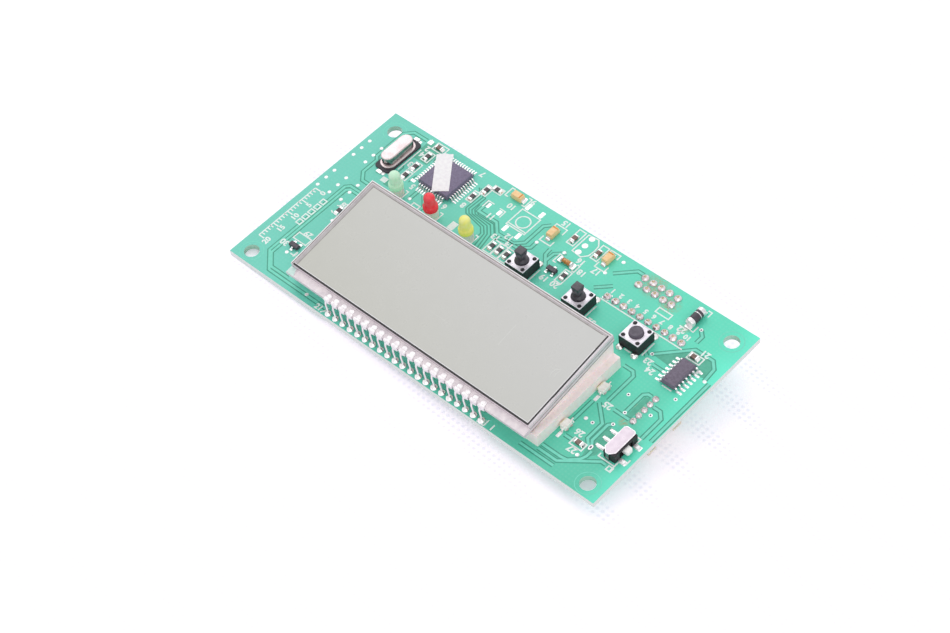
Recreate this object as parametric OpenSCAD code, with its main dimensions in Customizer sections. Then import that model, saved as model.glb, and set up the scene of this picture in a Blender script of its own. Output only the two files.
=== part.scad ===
/* [Board] */
// Length of the board along X
board_l = 120; // [119:0.5:130]
// Thickness of the board
board_t = 1.6; // [1:0.1:2.4]
// Diameter of the four mounting holes
hole_d = 4; // [3:0.1:4.4]
// Centres of the mounting holes from the left and right edges
hole_inset_x = 4.5; // [4:0.1:5]
// Centres of the far mounting holes from the far edge
hole_inset_far = 5; // [4:0.1:6]
// Centres of the near mounting holes from the near edge
hole_inset_near = 3.4; // [3:0.1:4]

/* [Rows of parts beyond the display] */
// From the far edge of the display to the lamps
lamp_row_gap = 6.1; // [5.5:0.1:8]
// From the far edge of the display to the push buttons
button_row_gap = 7.25; // [6.5:0.05:9]
// From the push buttons to the joints of the single row header
header_row_gap = 6.25; // [6:0.05:9]
// From the single row header to the middle of the double row header
pair_row_gap = 8.7; // [6:0.1:12]
// From the middle of the double row header to the far edge of the board
far_margin = 4; // [3.5:0.1:8]

/* [Display] */
// Length of the display glass along X
lcd_l = 78.5; // [76:0.5:80]
// Depth of the rear glass from its contact edge to its far edge
lcd_d = 32; // [29:0.5:33]
// Centre of the display along X
lcd_x = -1; // [-1.2:0.1:0]
// Contact edge of the rear glass from the near edge of the board
lcd_inset = 1.8; // [1.7:0.1:2.4]
// Thickness of each glass plate
glass_t = 1.1; // [0.7:0.1:1.2]
// Thickness of each polariser
polariser_t = 0.2; // [0.15:0.05:0.3]
// Bare strip of the rear glass that the contact pins grip
ledge_d = 2.2; // [1.6:0.1:2.8]
// Border of front glass left bare around the front polariser
polariser_inset = 0.9; // [0.5:0.1:1.5]
// Border of front glass left bare along the contact pins
polariser_near_inset = 0.45; // [0.3:0.05:1.2]
// Tilt of the display about X, far edge up
lcd_tilt = 8.4; // [2:0.2:10]
// Number of contact pins
lcd_pins = 21; // [11:2:23]
// Middle contact pin along X
lcd_pin_x = -0.4; // [-1:0.1:0.5]
// Contact pin joints from the near edge of the board
lcd_joint_inset = 1.1; // [1:0.05:1.2]
// Width of the part of a contact pin that grips the glass
clip_w = 1.8; // [1:0.1:2]

/* [Backlight] */
// How far the light guide stands out past the left end of the display
guide_left_margin = 0.2; // [0.1:0.1:2]
// How far the light guide stands out past the right end of the display
guide_right_margin = 1.75; // [0.5:0.05:2.5]
// How far the wedge of the light guide stays inside the right end of the display
wedge_end_margin = 0.2; // [0.1:0.1:1]
// How far the far edge of the light guide stays short of the display's
guide_far_margin = 0.4; // [0.2:0.1:2]
// Thickness of the light guide at its near edge
guide_t = 3.4; // [2:0.1:4]
// Thickness of the film under the guide and of the film over it
film_t = 0.2; // [0.1:0.05:0.3]
// Near edge of the light guide from the near edge of the board
guide_inset = 3.8; // [3.5:0.1:4.4]
// Height of the two backlight lamps
side_led_h = 1.8; // [1:0.1:2.5]
// Width of the two backlight lamps along Y
side_led_w = 3.1; // [2.5:0.1:3.5]

/* [Indicator lamps] */
// Diameter of the lamp's dome
lamp_d = 3; // [2.5:0.1:3.4]
// Diameter of the lamp's rim
lamp_rim_d = 3.9; // [3.6:0.1:4.2]
// Height of the lamp from rim to tip
lamp_h = 5.4; // [4.5:0.1:6]
// Height of the spacer under a lamp
spacer_h = 2.6; // [1.5:0.1:4]
// Distance between neighbouring lamps
lamp_pitch = 12.1; // [11.5:0.1:12.5]

/* [Push buttons] */
// Side of the square switch body
button_body = 6; // [5.8:0.1:6.4]
// Height of the switch body without its cover
button_body_h = 3.2; // [2.8:0.1:4]
// Thickness of the metal cover
button_cover_t = 0.25; // [0.2:0.05:0.4]
// Diameter of the plunger where it passes the cover
plunger_d = 3.5; // [3:0.1:3.6]
// Side of the square head of a tall plunger
plunger_head = 2.4; // [2:0.1:2.4]
// Height of a tall plunger above the cover
tall_plunger_h = 3.85; // [3:0.05:6]
// Height of the low plunger above the cover
low_plunger_h = 0.85; // [0.6:0.05:2]
// Travel of a plunger
plunger_travel = 0.25; // [0.15:0.05:0.35]

/* [Slide switch] */
// Length of the slide switch along Y
slider_l = 8.7; // [8.5:0.1:9.4]
// Width of the slide switch along X
slider_w = 3.7; // [3.4:0.1:4]
// Height of the slide switch
slider_h = 2.8; // [2.6:0.1:3.6]
// Width of the knob along Y
knob_w = 1.9; // [1.6:0.1:2.2]
// How far the knob stands out of the switch
knob_out = 1.3; // [0.9:0.1:1.8]
// Travel of the knob each way from the middle
knob_travel = 1.2; // [0.6:0.1:1.2]

/* [Quartz crystal] */
// Length of the crystal's can
crystal_l = 10.2; // [9.6:0.1:10.6]
// Width of the crystal's can
crystal_w = 3.6; // [3.2:0.1:3.8]
// Height of the crystal over the board
crystal_h = 3.5; // [3:0.1:4.5]

/* [Chips] */
// Side of the square controller's body
mcu_side = 10; // [9:0.1:10.2]
// Height of the square controller
mcu_h = 1.9; // [1.6:0.1:2.3]
// Span of the square controller over its lead toes
mcu_span = 13.6; // [12.6:0.1:14]
// Length of the small chip's body
sop_l = 8.65; // [8.5:0.05:9.2]
// Width of the small chip's body
sop_w = 3.9; // [3.6:0.1:4.2]
// Height of the small chip
sop_h = 1.6; // [1.3:0.1:2.2]
// Span of the small chip over its lead toes
sop_span = 6.4; // [6:0.1:7]
// Length of the paper label on the controller
label_l = 13.1; // [11:0.1:13.4]
// Width of the paper label on the controller
label_w = 4.4; // [3.5:0.1:4.6]

/* [Chip parts] */
// Length of a tantalum capacitor
tantalum_l = 3.4; // [3:0.1:3.6]
// Width of a tantalum capacitor
tantalum_w = 1.9; // [1.6:0.1:2.2]
// Height of a tantalum capacitor
tantalum_h = 1.7; // [1.2:0.1:2.2]
// Length of the black tube diode
tube_l = 5.2; // [4.6:0.1:5.6]
// Diameter of the black tube diode
tube_d = 2.5; // [2:0.1:2.8]
// Length of the glass diode
bead_l = 3.5; // [3.2:0.1:3.8]
// Diameter of the glass diode
bead_d = 1.5; // [1.2:0.1:1.7]
// Length of a chip resistor or chip capacitor
chip_l = 2; // [1.8:0.1:2.2]
// Width of a chip resistor or chip capacitor
chip_w = 1.25; // [1:0.05:1.3]
// Height of a chip capacitor
chip_h = 0.8; // [0.6:0.05:1]

/* [Connectors] */
// Pitch of the pin headers and of the display's contact pins
pin_pitch = 2.54; // [2.5:0.01:2.56]
// Side of a square header pin
pin_side = 0.64; // [0.5:0.02:0.7]
// Pins in the single row header
row_pins = 10; // [4:1:10]
// Columns in the double row header
pair_columns = 5; // [2:1:6]
// Height of the plastic base of a header
header_base_h = 2.54; // [2:0.1:3]
// Length of a header pin below its base
header_pin_h = 6; // [4:0.1:8]
// Ways of the side entry connector
side_ways = 5; // [3:1:5]
// Pitch of the side entry connector
side_pitch = 2; // [2:0.05:2.2]
// Height of the side entry connector
side_h = 4.8; // [4.6:0.1:5.4]
// Depth of the side entry connector along X
side_d = 5.4; // [4.8:0.1:5.6]

/* [Hidden] */
$fn = 48;

// Clearances
seat_gap = 0.05;
fit_gap = 0.1;
lead_gap = 0.12;
touch = 0.01;

// Sheet metal, leads and solder
lead_t = 0.25;
lead_stub = 0.9;
joint_r = 0.9;
joint_top_r = 0.45;
joint_h = 0.9;
foot_t = 0.2;

// The board's width, its edges and its centre, in the frame of the mounting holes
board_w = lcd_inset + lcd_d + button_row_gap + header_row_gap + pair_row_gap + far_margin;
right = board_l / 2;
far = board_w / 2;
near = -board_w / 2;
board_cy = (hole_inset_far - hole_inset_near) / 2;
hole_x = right - hole_inset_x;
hole_y = (board_w - hole_inset_far - hole_inset_near) / 2;

// Display stack, measured in the tilted frame of the display
guide_top = guide_t + 2 * film_t;
seal_t = 0.1;
seal_w = 1;
rear_glass_z = polariser_t;
seal_z = rear_glass_z + glass_t;
front_glass_z = seal_z + seal_t;
front_polariser_z = front_glass_z + glass_t;
lcd_near = near + lcd_inset;
lcd_far = lcd_near + lcd_d;
front_glass_d = lcd_d - ledge_d;
rear_polariser_inset = 1.5;
guide_left = lcd_x - lcd_l / 2 - guide_left_margin;
guide_right = lcd_x + lcd_l / 2 + guide_right_margin;
guide_near = near + guide_inset;
guide_l = guide_right - guide_left;
wedge_l = lcd_x + lcd_l / 2 - wedge_end_margin - guide_left;
film_inset = 0.5;
lcd_joint_y = near + lcd_joint_inset;
lcd_leg_w = 0.5;
lcd_leg_bend = 1.5;
clip_t = 0.2;
clip_lower = 0.45;
clip_end_gap = 0.35;

// Backlight lamps
side_led_inset = 25.5;
side_led_pitch = 13.3;
side_led_y = [near + side_led_inset, near + side_led_inset - side_led_pitch];
side_led_d = 1.8;
side_led_window_t = 0.2;
side_led_gap = 0.3;
side_led_wall = 0.4;

// Lamps, from the board's centre
lamp_x = -27.8;
lamp_y = lcd_far + lamp_row_gap;
lamp_rim_h = 1;
lamp_lead_pitch = 2.54;
lamp_lead_side = 0.5;

// Push buttons: places of the centres, from the board's centre
button_y = lcd_far + button_row_gap;
button_x = [1.9, 20.1, 38.15];
button_leg_x = 2.25;
button_leg_out = 0.65;
button_leg_y = button_body / 2 + button_leg_out;
button_leg_w = 0.7;
button_leg_z = 0.4;
button_pin_h = 1.2;
button_floor = 0.6;
plunger_rim = 0.25;
plunger_rim_h = 0.7;
pusher_d = 1.5;
cavity_d = plunger_d + 2 * plunger_rim + 2 * fit_gap;
stake_d = 1;
stake_offset = 2.2;
stake_up = 0.08;
collar_h = 0.85;
cone_h = 0.5;
dome_t = 0.1;
dome_rise = 0.4;
cover_inset = 0.05;

// Slide switch, its centre from the right edge and from the near edge
slider_inset_x = 5.05;
slider_inset_y = 15.3;
slider_x = right - slider_inset_x;
slider_y = near + slider_inset_y;
slider_sheet = 0.3;
slider_front_gap = 0.4;
slider_near_cut = 1.2;
slider_far_cut = 0.5;
slider_wall = 0.5;
knob_h = 1.3;
knob_z = (slider_h - slider_sheet) / 2;
carriage_l = 3.2;
carriage_w = 1.2;
wiper_l = 2.4;
wiper_w = 0.6;
slider_lead_l = 3.2;
slider_lead_w = 0.7;
slider_tab_l = 1.7;
slider_tab_y = 2.6;

// Crystal
crystal_base_t = 0.5;
crystal_flange = 0.5;
crystal_flange_t = 0.4;
crystal_wall = 0.3;
crystal_base_margin = 0.35;
crystal_base_end = 0.8;
crystal_lead_w = 1;
crystal_round = 0.4;

// Chips
mcu_x = -32.9;
mcu_inset = 9.4;
mcu_y = far - mcu_inset;
crystal_gap = 15.9;
crystal_inset = 10.6;
crystal_x = mcu_x - crystal_gap;
crystal_y = far - crystal_inset;
mcu_lead_pitch = 0.8;
mcu_leads = 11;
mcu_lead_w = 0.35;
chip_lift = 0.1;
chip_draft = 0.92;
sop_inset_x = 7.8;
sop_inset_y = 20.5;
sop_x = right - sop_inset_x;
sop_y = far - sop_inset_y;
sop_lead_pitch = 1.27;
sop_leads = 7;
sop_lead_w = 0.45;
dimple_d = 0.8;
dimple_depth = 0.1;
label_turn = -52;
label_t = 0.1;
label_shift = [-1.6, 0.6];

// Three-legged transistors, as [x, y, turn]
transistors = [[7.9, far - 15, 270], [guide_left - 7.35, near + 11, 90]];
transistor_l = 2.9;
transistor_w = 1.3;
transistor_h = 1.1;
transistor_reach = 0.55;
transistor_lead_w = 0.45;

// Tantalum capacitors, as [x, y, turn]
tantalums = [[-14.5, far - 2.5, 0], [0.35, far - 6.1, 90], [16.5, far - 3.9, 90]];
terminal_t = 0.1;
terminal_w = 1.2;
terminal_h = 0.9;

// Diodes
tube_at = [44.9, far - 5.2];
tube_cap_l = 0.5;
bead_at = [9.3, far - 11];
bead_cap_l = 0.5;

// Chip resistors and chip capacitors, as [x, y, turn]
resistors = [
  [-42.4, far - 6.2, 90], [-42.6, far - 10.7, 90], [-42.6, far - 14.4, 90],
  [-24, far - 9.2, 90], [-20.4, far - 3.6, 0], [-22.6, far - 5.4, 90],
  [-9, far - 18.2, 90], [-6.6, far - 18.2, 90], [-4.2, far - 18.2, 90],
  [11.3, far - 14.5, 90], [guide_left - 7.05, near + 26.4, 90]
];
capacitors = [
  [-42, far - 2.3, 0], [5.5, far - 3.9, 90], [13.3, far - 4, 90],
  [guide_right + 6.7, near + 10.4, 0], [sop_x - 0.6, sop_y + 6.3, 0]
];
resistor_h = 0.5;
chip_end_l = 0.35;

// Headers on the underside, their centres from the board's centre
row_at = [35.1, button_y + header_row_gap];
pair_at = [32.25, far - far_margin];
header_base_w = 2.5;
pin_up = 1;
side_pin_side = 0.5;
side_inset_x = 7.65;
side_inset_y = 26.9;
side_x = right - side_inset_x;
side_y = near + side_inset_y;
side_ear = 1.95;
side_wall = 0.7;
side_rear_wall = 1.2;
side_back = 0.55;
side_window_margin = 2.85;

// ---------------------------------------------------------------- placing

// Puts children on the top face, x and y from the board's centre
module on_top(at, turn = 0) {
  translate([at[0], at[1] + board_cy, board_t]) rotate([0, 0, turn]) children();
}

// Puts children under the bottom face, x and y from the board's centre
module on_underside(at, turn = 0) {
  translate([at[0], at[1] + board_cy, 0]) rotate([0, 0, turn]) children();
}

// How far the contact edge overhangs the near edge of the light guide
overhang = guide_near - lcd_near;

// Puts children in the frame of the display, whose origin is the middle of the contact edge.
// The display tilts about the near edge of the light guide.
module in_display() {
  on_top([lcd_x, guide_near]) translate([0, 0, guide_top + seat_gap]) rotate([lcd_tilt, 0, 0])
    translate([0, -overhang, 0]) children();
}

// The same place as [y from the board's centre, height over the board]
function from_display(y, z) = [
  guide_near + (y - overhang) * cos(lcd_tilt) - z * sin(lcd_tilt),
  guide_top + seat_gap + (y - overhang) * sin(lcd_tilt) + z * cos(lcd_tilt)
];

// The far edge of the light guide and of its films
wedge_far = from_display(lcd_d - guide_far_margin, -seat_gap - film_t);
guide_d = wedge_far[0] - guide_near;

module at_lcd_pins() {
  for (i = [0 : lcd_pins - 1])
    on_top([lcd_pin_x + (i - (lcd_pins - 1) / 2) * pin_pitch, lcd_joint_y]) children();
}

module at_row_pins() {
  for (i = [0 : row_pins - 1])
    translate([(i - (row_pins - 1) / 2) * pin_pitch, 0, 0]) children();
}

module at_pair_pins() {
  for (i = [0 : pair_columns - 1], side = [-1, 1])
    translate([(i - (pair_columns - 1) / 2) * pin_pitch, side * pin_pitch / 2, 0]) children();
}

module at_side_pins() {
  for (i = [0 : side_ways - 1])
    translate([0, (i - (side_ways - 1) / 2) * side_pitch, 0]) children();
}

module at_lamps() {
  for (i = [-1 : 1])
    on_top([lamp_x + i * lamp_pitch, lamp_y]) children();
}

module at_lamp_leads() {
  at_lamps() for (side = [-1, 1])
    translate([side * lamp_lead_pitch / 2, 0, 0]) children();
}

module at_buttons() {
  for (x = button_x)
    on_top([x, button_y]) children();
}

module at_button_legs() {
  at_buttons() for (sx = [-1, 1], sy = [-1, 1])
    translate([sx * button_leg_x, sy * button_leg_y, 0]) children();
}

module at_stakes() {
  for (sx = [-1, 1], sy = [-1, 1])
    translate([sx * stake_offset, sy * stake_offset, 0]) children();
}

// ---------------------------------------------------------------- shared shapes

// A box centred on X and Y that stands on z = 0
module block(size) {
  translate([-size[0] / 2, -size[1] / 2, 0]) cube(size);
}

// A slot shape with round ends, its length along Y
module stadium(length, width) {
  square([width, length - width], center = true);
  for (s = [-1, 1])
    translate([0, s * (length - width) / 2]) circle(d = width);
}

// A bar from one point to another, with round ends
module bar(from, to, thick) {
  run = to - from;
  translate(from) rotate(atan2(run[1], run[0])) translate([0, -thick / 2]) square([norm(run), thick]);
  translate(from) circle(d = thick);
  translate(to) circle(d = thick);
}

// A moulded chip body with drafted sides, standing chip_lift over the board
module moulded_body(length, width, height) {
  half = (height - chip_lift) / 2;
  translate([0, 0, chip_lift + half])
    linear_extrude(half, scale = chip_draft) square([width, length], center = true);
  translate([0, 0, chip_lift + half]) mirror([0, 0, 1])
    linear_extrude(half, scale = chip_draft) square([width, length], center = true);
}

// A gull-wing lead that leaves the body at x = 0 and stands on the board at x = reach
module gull_lead(reach, height, width) {
  shoulder = reach * 0.25;
  ankle = reach * 0.5;
  rotate([90, 0, 0]) translate([0, 0, -width / 2]) linear_extrude(width)
    polygon([
      [0, height + foot_t / 2], [0, height - foot_t / 2], [shoulder, height - foot_t / 2],
      [ankle, 0], [reach, 0], [reach, foot_t], [ankle + foot_t, foot_t],
      [shoulder + foot_t, height + foot_t / 2]
    ]);
}

// A solder fillet round a lead, standing on z = 0, with the lead's own shape left free
module joint(lead_x, lead_y, radius = joint_r) {
  difference() {
    cylinder(h = joint_h, r1 = radius, r2 = joint_top_r);
    translate([0, 0, -joint_h]) block([lead_x, lead_y, 3 * joint_h]);
  }
}

// Drill size for a lead of the given section
function drill_d(lead_x, lead_y) = norm([lead_x, lead_y]) + lead_gap;

module drill(lead_x, lead_y) {
  translate([0, 0, -2 * board_t]) cylinder(h = 4 * board_t, d = drill_d(lead_x, lead_y));
}

// ---------------------------------------------------------------- board and solder

module circuit_board() {
  color("#5FD9BE") difference() {
    translate([0, board_cy, 0]) block([board_l, board_w, board_t]);
    for (sx = [-1, 1], sy = [-1, 1])
      translate([sx * hole_x, sy * hole_y, -board_t]) cylinder(h = 3 * board_t, d = hole_d);
    at_lcd_pins() drill(lcd_leg_w, lead_t);
    at_lamp_leads() drill(lamp_lead_side, lamp_lead_side);
    at_button_legs() drill(button_leg_w, lead_t);
    on_underside(row_at) at_row_pins() drill(pin_side, pin_side);
    on_underside(pair_at) at_pair_pins() drill(pin_side, pin_side);
    on_underside([side_x, side_y]) at_side_pins() drill(side_pin_side, side_pin_side);
  }
}

module display_joints() {
  color("#F2EEEA") at_lcd_pins() joint(lcd_leg_w, lead_t);
}

module header_joints() {
  color("#D8CFCB") {
    on_top(row_at) at_row_pins() joint(pin_side, pin_side);
    on_top(pair_at) at_pair_pins() joint(pin_side, pin_side);
    on_top([side_x, side_y]) at_side_pins() joint(side_pin_side, side_pin_side, joint_r - fit_gap);
  }
}

// The solder round the legs of the push buttons, with the legs and the housings left free
module button_joints() {
  color("#EDE9E6") difference() {
    at_button_legs() cylinder(h = joint_h, r1 = joint_r, r2 = joint_top_r);
    leg_shapes();
    at_buttons() block([button_body, button_body, button_body_h]);
  }
}

module underside_joints() {
  color("#D8D6D3") {
    at_lcd_pins() translate([0, 0, -board_t]) mirror([0, 0, 1]) joint(lcd_leg_w, lead_t);
    at_lamp_leads() translate([0, 0, -board_t]) mirror([0, 0, 1]) joint(lamp_lead_side, lamp_lead_side);
    at_button_legs() translate([0, 0, -board_t]) mirror([0, 0, 1]) joint(button_leg_w, lead_t);
  }
}

// ---------------------------------------------------------------- display

module lcd_rear_glass() {
  color("#C9C9C6") in_display()
    translate([-lcd_l / 2, 0, rear_glass_z]) cube([lcd_l, lcd_d, glass_t]);
}

module lcd_front_glass() {
  color("#CDCDC9") in_display()
    translate([-lcd_l / 2, ledge_d, front_glass_z]) cube([lcd_l, front_glass_d, glass_t]);
}

module lcd_seal() {
  color("#2A2A2C") in_display() translate([-lcd_l / 2, ledge_d, seal_z]) difference() {
    cube([lcd_l, front_glass_d, seal_t]);
    translate([seal_w, seal_w, -seal_t])
      cube([lcd_l - 2 * seal_w, front_glass_d - 2 * seal_w, 3 * seal_t]);
  }
}

module lcd_front_polariser() {
  color("#CDCDC9") in_display()
    translate([-lcd_l / 2 + polariser_inset, ledge_d + polariser_near_inset, front_polariser_z])
      cube([
        lcd_l - 2 * polariser_inset, front_glass_d - polariser_near_inset - polariser_inset, polariser_t
      ]);
}

module lcd_rear_polariser() {
  color("#BDBDB8") in_display()
    translate([-lcd_l / 2 + rear_polariser_inset, rear_polariser_inset, 0])
      cube([lcd_l - 2 * rear_polariser_inset, lcd_d - 2 * rear_polariser_inset, polariser_t]);
}

// The clip that grips the rear glass, seen along X in the frame of the display
module clip_profile() {
  back = -clip_t - seat_gap;
  low = rear_glass_z - clip_t;
  high = seal_z + clip_t;
  translate([back, low]) square([clip_t, high - low]);
  translate([back, seal_z]) square([ledge_d - clip_end_gap - back, clip_t]);
  translate([back, low]) square([clip_lower - back, clip_t]);
}

// The leg from the clip down through the board, seen along X, y from the board's centre
module leg_profile() {
  top = from_display(-seat_gap - clip_t / 2, rear_glass_z);
  bend = [lcd_joint_y, lcd_leg_bend];
  foot = [lcd_joint_y, -board_t - lead_stub];
  bar(top, bend, lead_t);
  translate([foot[0] - lead_t / 2, foot[1]]) square([lead_t, bend[1] - foot[1]]);
}

module along_x(width) {
  translate([-width / 2, 0, 0]) rotate([90, 0, 90]) linear_extrude(width) children();
}

module lcd_contact_pins() {
  color("#F4F0EE") for (i = [0 : lcd_pins - 1]) {
    x = lcd_pin_x + (i - (lcd_pins - 1) / 2) * pin_pitch;
    on_top([x, 0]) along_x(lcd_leg_w) leg_profile();
    in_display() translate([x - lcd_x, 0, 0]) along_x(clip_w) clip_profile();
  }
}

module lcd_pin_resin() {
  run = (lcd_pins - 1) * pin_pitch + clip_w;
  color("#F7EFEF") in_display()
    translate([lcd_pin_x - lcd_x - run / 2, ledge_d - clip_end_gap, seal_z])
      cube([run, clip_end_gap, clip_t + seal_t]);
}

// ---------------------------------------------------------------- backlight

module guide_reflector() {
  color("#F6E8E8") on_top([0, 0]) translate([guide_left, guide_near, 0]) cube([guide_l, guide_d, film_t]);
}

// Section of the wedge that carries the display, y from the board's centre
module wedge_profile() {
  rise = guide_d * tan(lcd_tilt);
  polygon([
    [guide_near, film_t], [wedge_far[0], film_t], wedge_far, [guide_near, wedge_far[1] - rise]
  ]);
}

// The light guide: a wedge under the display, and a flat end that the backlight lamps face
module light_guide() {
  color("#E4F3EF") {
    on_top([guide_left + wedge_l / 2, 0]) along_x(wedge_l) wedge_profile();
    on_top([0, 0]) translate([guide_left + wedge_l, guide_near, film_t])
      cube([guide_l - wedge_l, guide_d, guide_top - film_t]);
  }
}

// The white film between the wedge and the display
module guide_diffuser() {
  color("#F7ECEC") in_display()
    translate([guide_left - lcd_x + film_inset, overhang + film_inset, -seat_gap - film_t])
      cube([
        wedge_l - 2 * film_inset, lcd_d - guide_far_margin - overhang - 2 * film_inset, film_t
      ]);
}

module side_led_bodies() {
  color("#F5F3EC") for (y = side_led_y)
    on_top([guide_right + side_led_gap + side_led_window_t, y])
      translate([0, -side_led_w / 2, 0]) cube([side_led_d, side_led_w, side_led_h]);
}

module side_led_windows() {
  color("#F3E58A") for (y = side_led_y)
    on_top([guide_right + side_led_gap, y])
      translate([0, -side_led_w / 2 + side_led_wall, side_led_wall])
        cube([side_led_window_t, side_led_w - 2 * side_led_wall, side_led_h - 2 * side_led_wall]);
}

// ---------------------------------------------------------------- lamps

module lamp_lens() {
  barrel = lamp_h - lamp_d / 2;
  translate([0, 0, spacer_h]) rotate_extrude() {
    square([lamp_d / 2, barrel]);
    square([lamp_rim_d / 2, lamp_rim_h]);
    translate([0, barrel]) intersection() {
      circle(d = lamp_d);
      square(lamp_d);
    }
  }
}

module green_lamp() {
  color("#A9F0B2") on_top([lamp_x - lamp_pitch, lamp_y]) lamp_lens();
}

module red_lamp() {
  color("#EE1C24") on_top([lamp_x, lamp_y]) lamp_lens();
}

module yellow_lamp() {
  color("#F7E85A") on_top([lamp_x + lamp_pitch, lamp_y]) lamp_lens();
}

module lamp_spacers() {
  color("#F3EDE4") at_lamps() difference() {
    cylinder(h = spacer_h, d = lamp_rim_d - 2 * fit_gap);
    for (side = [-1, 1])
      translate([side * lamp_lead_pitch / 2, 0, -spacer_h])
        cylinder(h = 3 * spacer_h, d = drill_d(lamp_lead_side, lamp_lead_side));
  }
}

module lamp_leads() {
  color("#D9D9DB") at_lamp_leads()
    translate([0, 0, -board_t - lead_stub])
      block([lamp_lead_side, lamp_lead_side, board_t + lead_stub + spacer_h]);
}

// ---------------------------------------------------------------- push buttons

module button_housings() {
  color("#1B1A1C") at_buttons() {
    difference() {
      block([button_body, button_body, button_body_h]);
      translate([0, 0, button_floor]) cylinder(h = button_body_h, d = cavity_d);
    }
    at_stakes() translate([0, 0, button_body_h]) cylinder(h = button_cover_t + stake_up, d = stake_d);
  }
}

module button_covers() {
  side = button_body - 2 * cover_inset;
  color("#E9E4EA") at_buttons() translate([0, 0, button_body_h]) difference() {
    block([side, side, button_cover_t]);
    translate([0, 0, -button_cover_t]) cylinder(h = 3 * button_cover_t, d = plunger_d + 2 * fit_gap);
    at_stakes() translate([0, 0, -button_cover_t])
      cylinder(h = 3 * button_cover_t, d = stake_d + 2 * touch);
  }
}

module button_snap_domes() {
  rim = cavity_d / 2 - fit_gap;
  color("#C9C9CC") at_buttons() translate([0, 0, button_floor]) rotate_extrude()
    polygon([[0, dome_rise], [0, dome_rise + dome_t], [rim, dome_t], [rim, 0]]);
}

// The bent legs of all the push buttons
module leg_shapes() {
  down = board_t + button_pin_h;
  at_buttons() for (sx = [-1, 1], sy = [-1, 1])
    translate([sx * button_leg_x - button_leg_w / 2, 0, 0]) mirror([0, sy < 0 ? 1 : 0, 0]) {
      translate([0, button_body / 2, button_leg_z])
        cube([button_leg_w, button_leg_y - button_body / 2 + lead_t / 2, lead_t]);
      translate([0, button_leg_y - lead_t / 2, -down]) cube([button_leg_w, lead_t, down + button_leg_z]);
    }
}

module button_legs() {
  color("#E6E2DF") leg_shapes();
}

// The part of a plunger inside the switch, up to the top of the cover
module plunger_root(diameter) {
  rim_top = button_body_h - seat_gap;
  pusher_z = button_floor + dome_rise + dome_t + plunger_travel + fit_gap;
  translate([0, 0, pusher_z]) cylinder(h = rim_top - pusher_z, d = pusher_d);
  translate([0, 0, rim_top - plunger_rim_h])
    cylinder(h = plunger_rim_h, d = diameter + 2 * plunger_rim);
  translate([0, 0, rim_top]) cylinder(h = seat_gap + button_cover_t, d = diameter);
}

module tall_plunger() {
  top = button_body_h + button_cover_t;
  plunger_root(plunger_d);
  translate([0, 0, top]) cylinder(h = collar_h, d = plunger_d);
  translate([0, 0, top + collar_h]) cylinder(h = cone_h, d1 = plunger_d, d2 = plunger_head);
  translate([0, 0, top]) block([plunger_head, plunger_head, tall_plunger_h]);
}

module low_plunger() {
  plunger_root(plunger_d);
  translate([0, 0, button_body_h + button_cover_t]) cylinder(h = low_plunger_h, d = plunger_d);
}

module tall_button_left() {
  color("#4A4450") on_top([button_x[0], button_y]) tall_plunger();
}

module tall_button_right() {
  color("#4A4450") on_top([button_x[1], button_y]) tall_plunger();
}

module low_button() {
  color("#5B5560") on_top([button_x[2], button_y]) low_plunger();
}

// ---------------------------------------------------------------- slide switch

// The black body inside the metal cover, hollow for the carriage and slotted for the knob
module slide_switch_body() {
  inner_w = slider_w - slider_sheet;
  inner_l = slider_l - 2 * slider_sheet;
  inner_h = slider_h - slider_sheet;
  cavity_l = carriage_l + 2 * knob_travel + 2 * fit_gap;
  slot_l = knob_w + 2 * knob_travel + 2 * fit_gap;
  color("#2B272E") on_top([slider_x, slider_y]) difference() {
    translate([-slider_w / 2 + slider_sheet, -inner_l / 2, 0]) cube([inner_w, inner_l, inner_h]);
    translate([-slider_w / 2 + slider_sheet + slider_wall, -cavity_l / 2, slider_wall])
      cube([inner_w - 2 * slider_wall, cavity_l, inner_h - 2 * slider_wall]);
    translate([0, -slot_l / 2, knob_z - knob_h / 2 - fit_gap])
      cube([slider_w, slot_l, knob_h + 2 * fit_gap]);
  }
}

module slide_switch_cover() {
  front = slider_w / 2 - slider_front_gap;
  wall_z = slider_h - slider_sheet - fit_gap;
  color("#EBDCEB") on_top([slider_x, slider_y]) {
    translate([0, 0, slider_h - slider_sheet]) linear_extrude(slider_sheet) polygon([
      [-slider_w / 2, slider_near_cut - slider_l / 2], [slider_near_cut - slider_w / 2, -slider_l / 2],
      [front - slider_near_cut, -slider_l / 2], [front, slider_near_cut - slider_l / 2],
      [front, slider_l / 2 - slider_far_cut], [front - slider_far_cut, slider_l / 2],
      [slider_far_cut - slider_w / 2, slider_l / 2], [-slider_w / 2, slider_l / 2 - slider_far_cut]
    ]);
    translate([-slider_w / 2, slider_near_cut - slider_l / 2, fit_gap])
      cube([slider_sheet, slider_l - slider_near_cut - slider_far_cut, wall_z]);
    translate([slider_near_cut - slider_w / 2, -slider_l / 2, fit_gap])
      cube([front + slider_w / 2 - 2 * slider_near_cut, slider_sheet, wall_z]);
    translate([slider_far_cut - slider_w / 2, slider_l / 2 - slider_sheet, fit_gap])
      cube([front + slider_w / 2 - 2 * slider_far_cut, slider_sheet, wall_z]);
  }
}

module slide_switch_leads() {
  color("#F1EFF0") on_top([slider_x, slider_y]) {
    for (i = [-1 : 1])
      translate([-slider_w / 2 - slider_lead_l, i * pin_pitch - slider_lead_w / 2, 0])
        cube([slider_lead_l, slider_lead_w, lead_t]);
    for (s = [-1, 1])
      translate([slider_w / 2, s * slider_tab_y - slider_lead_w / 2, 0])
        cube([slider_tab_l, slider_lead_w, lead_t]);
  }
}

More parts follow.
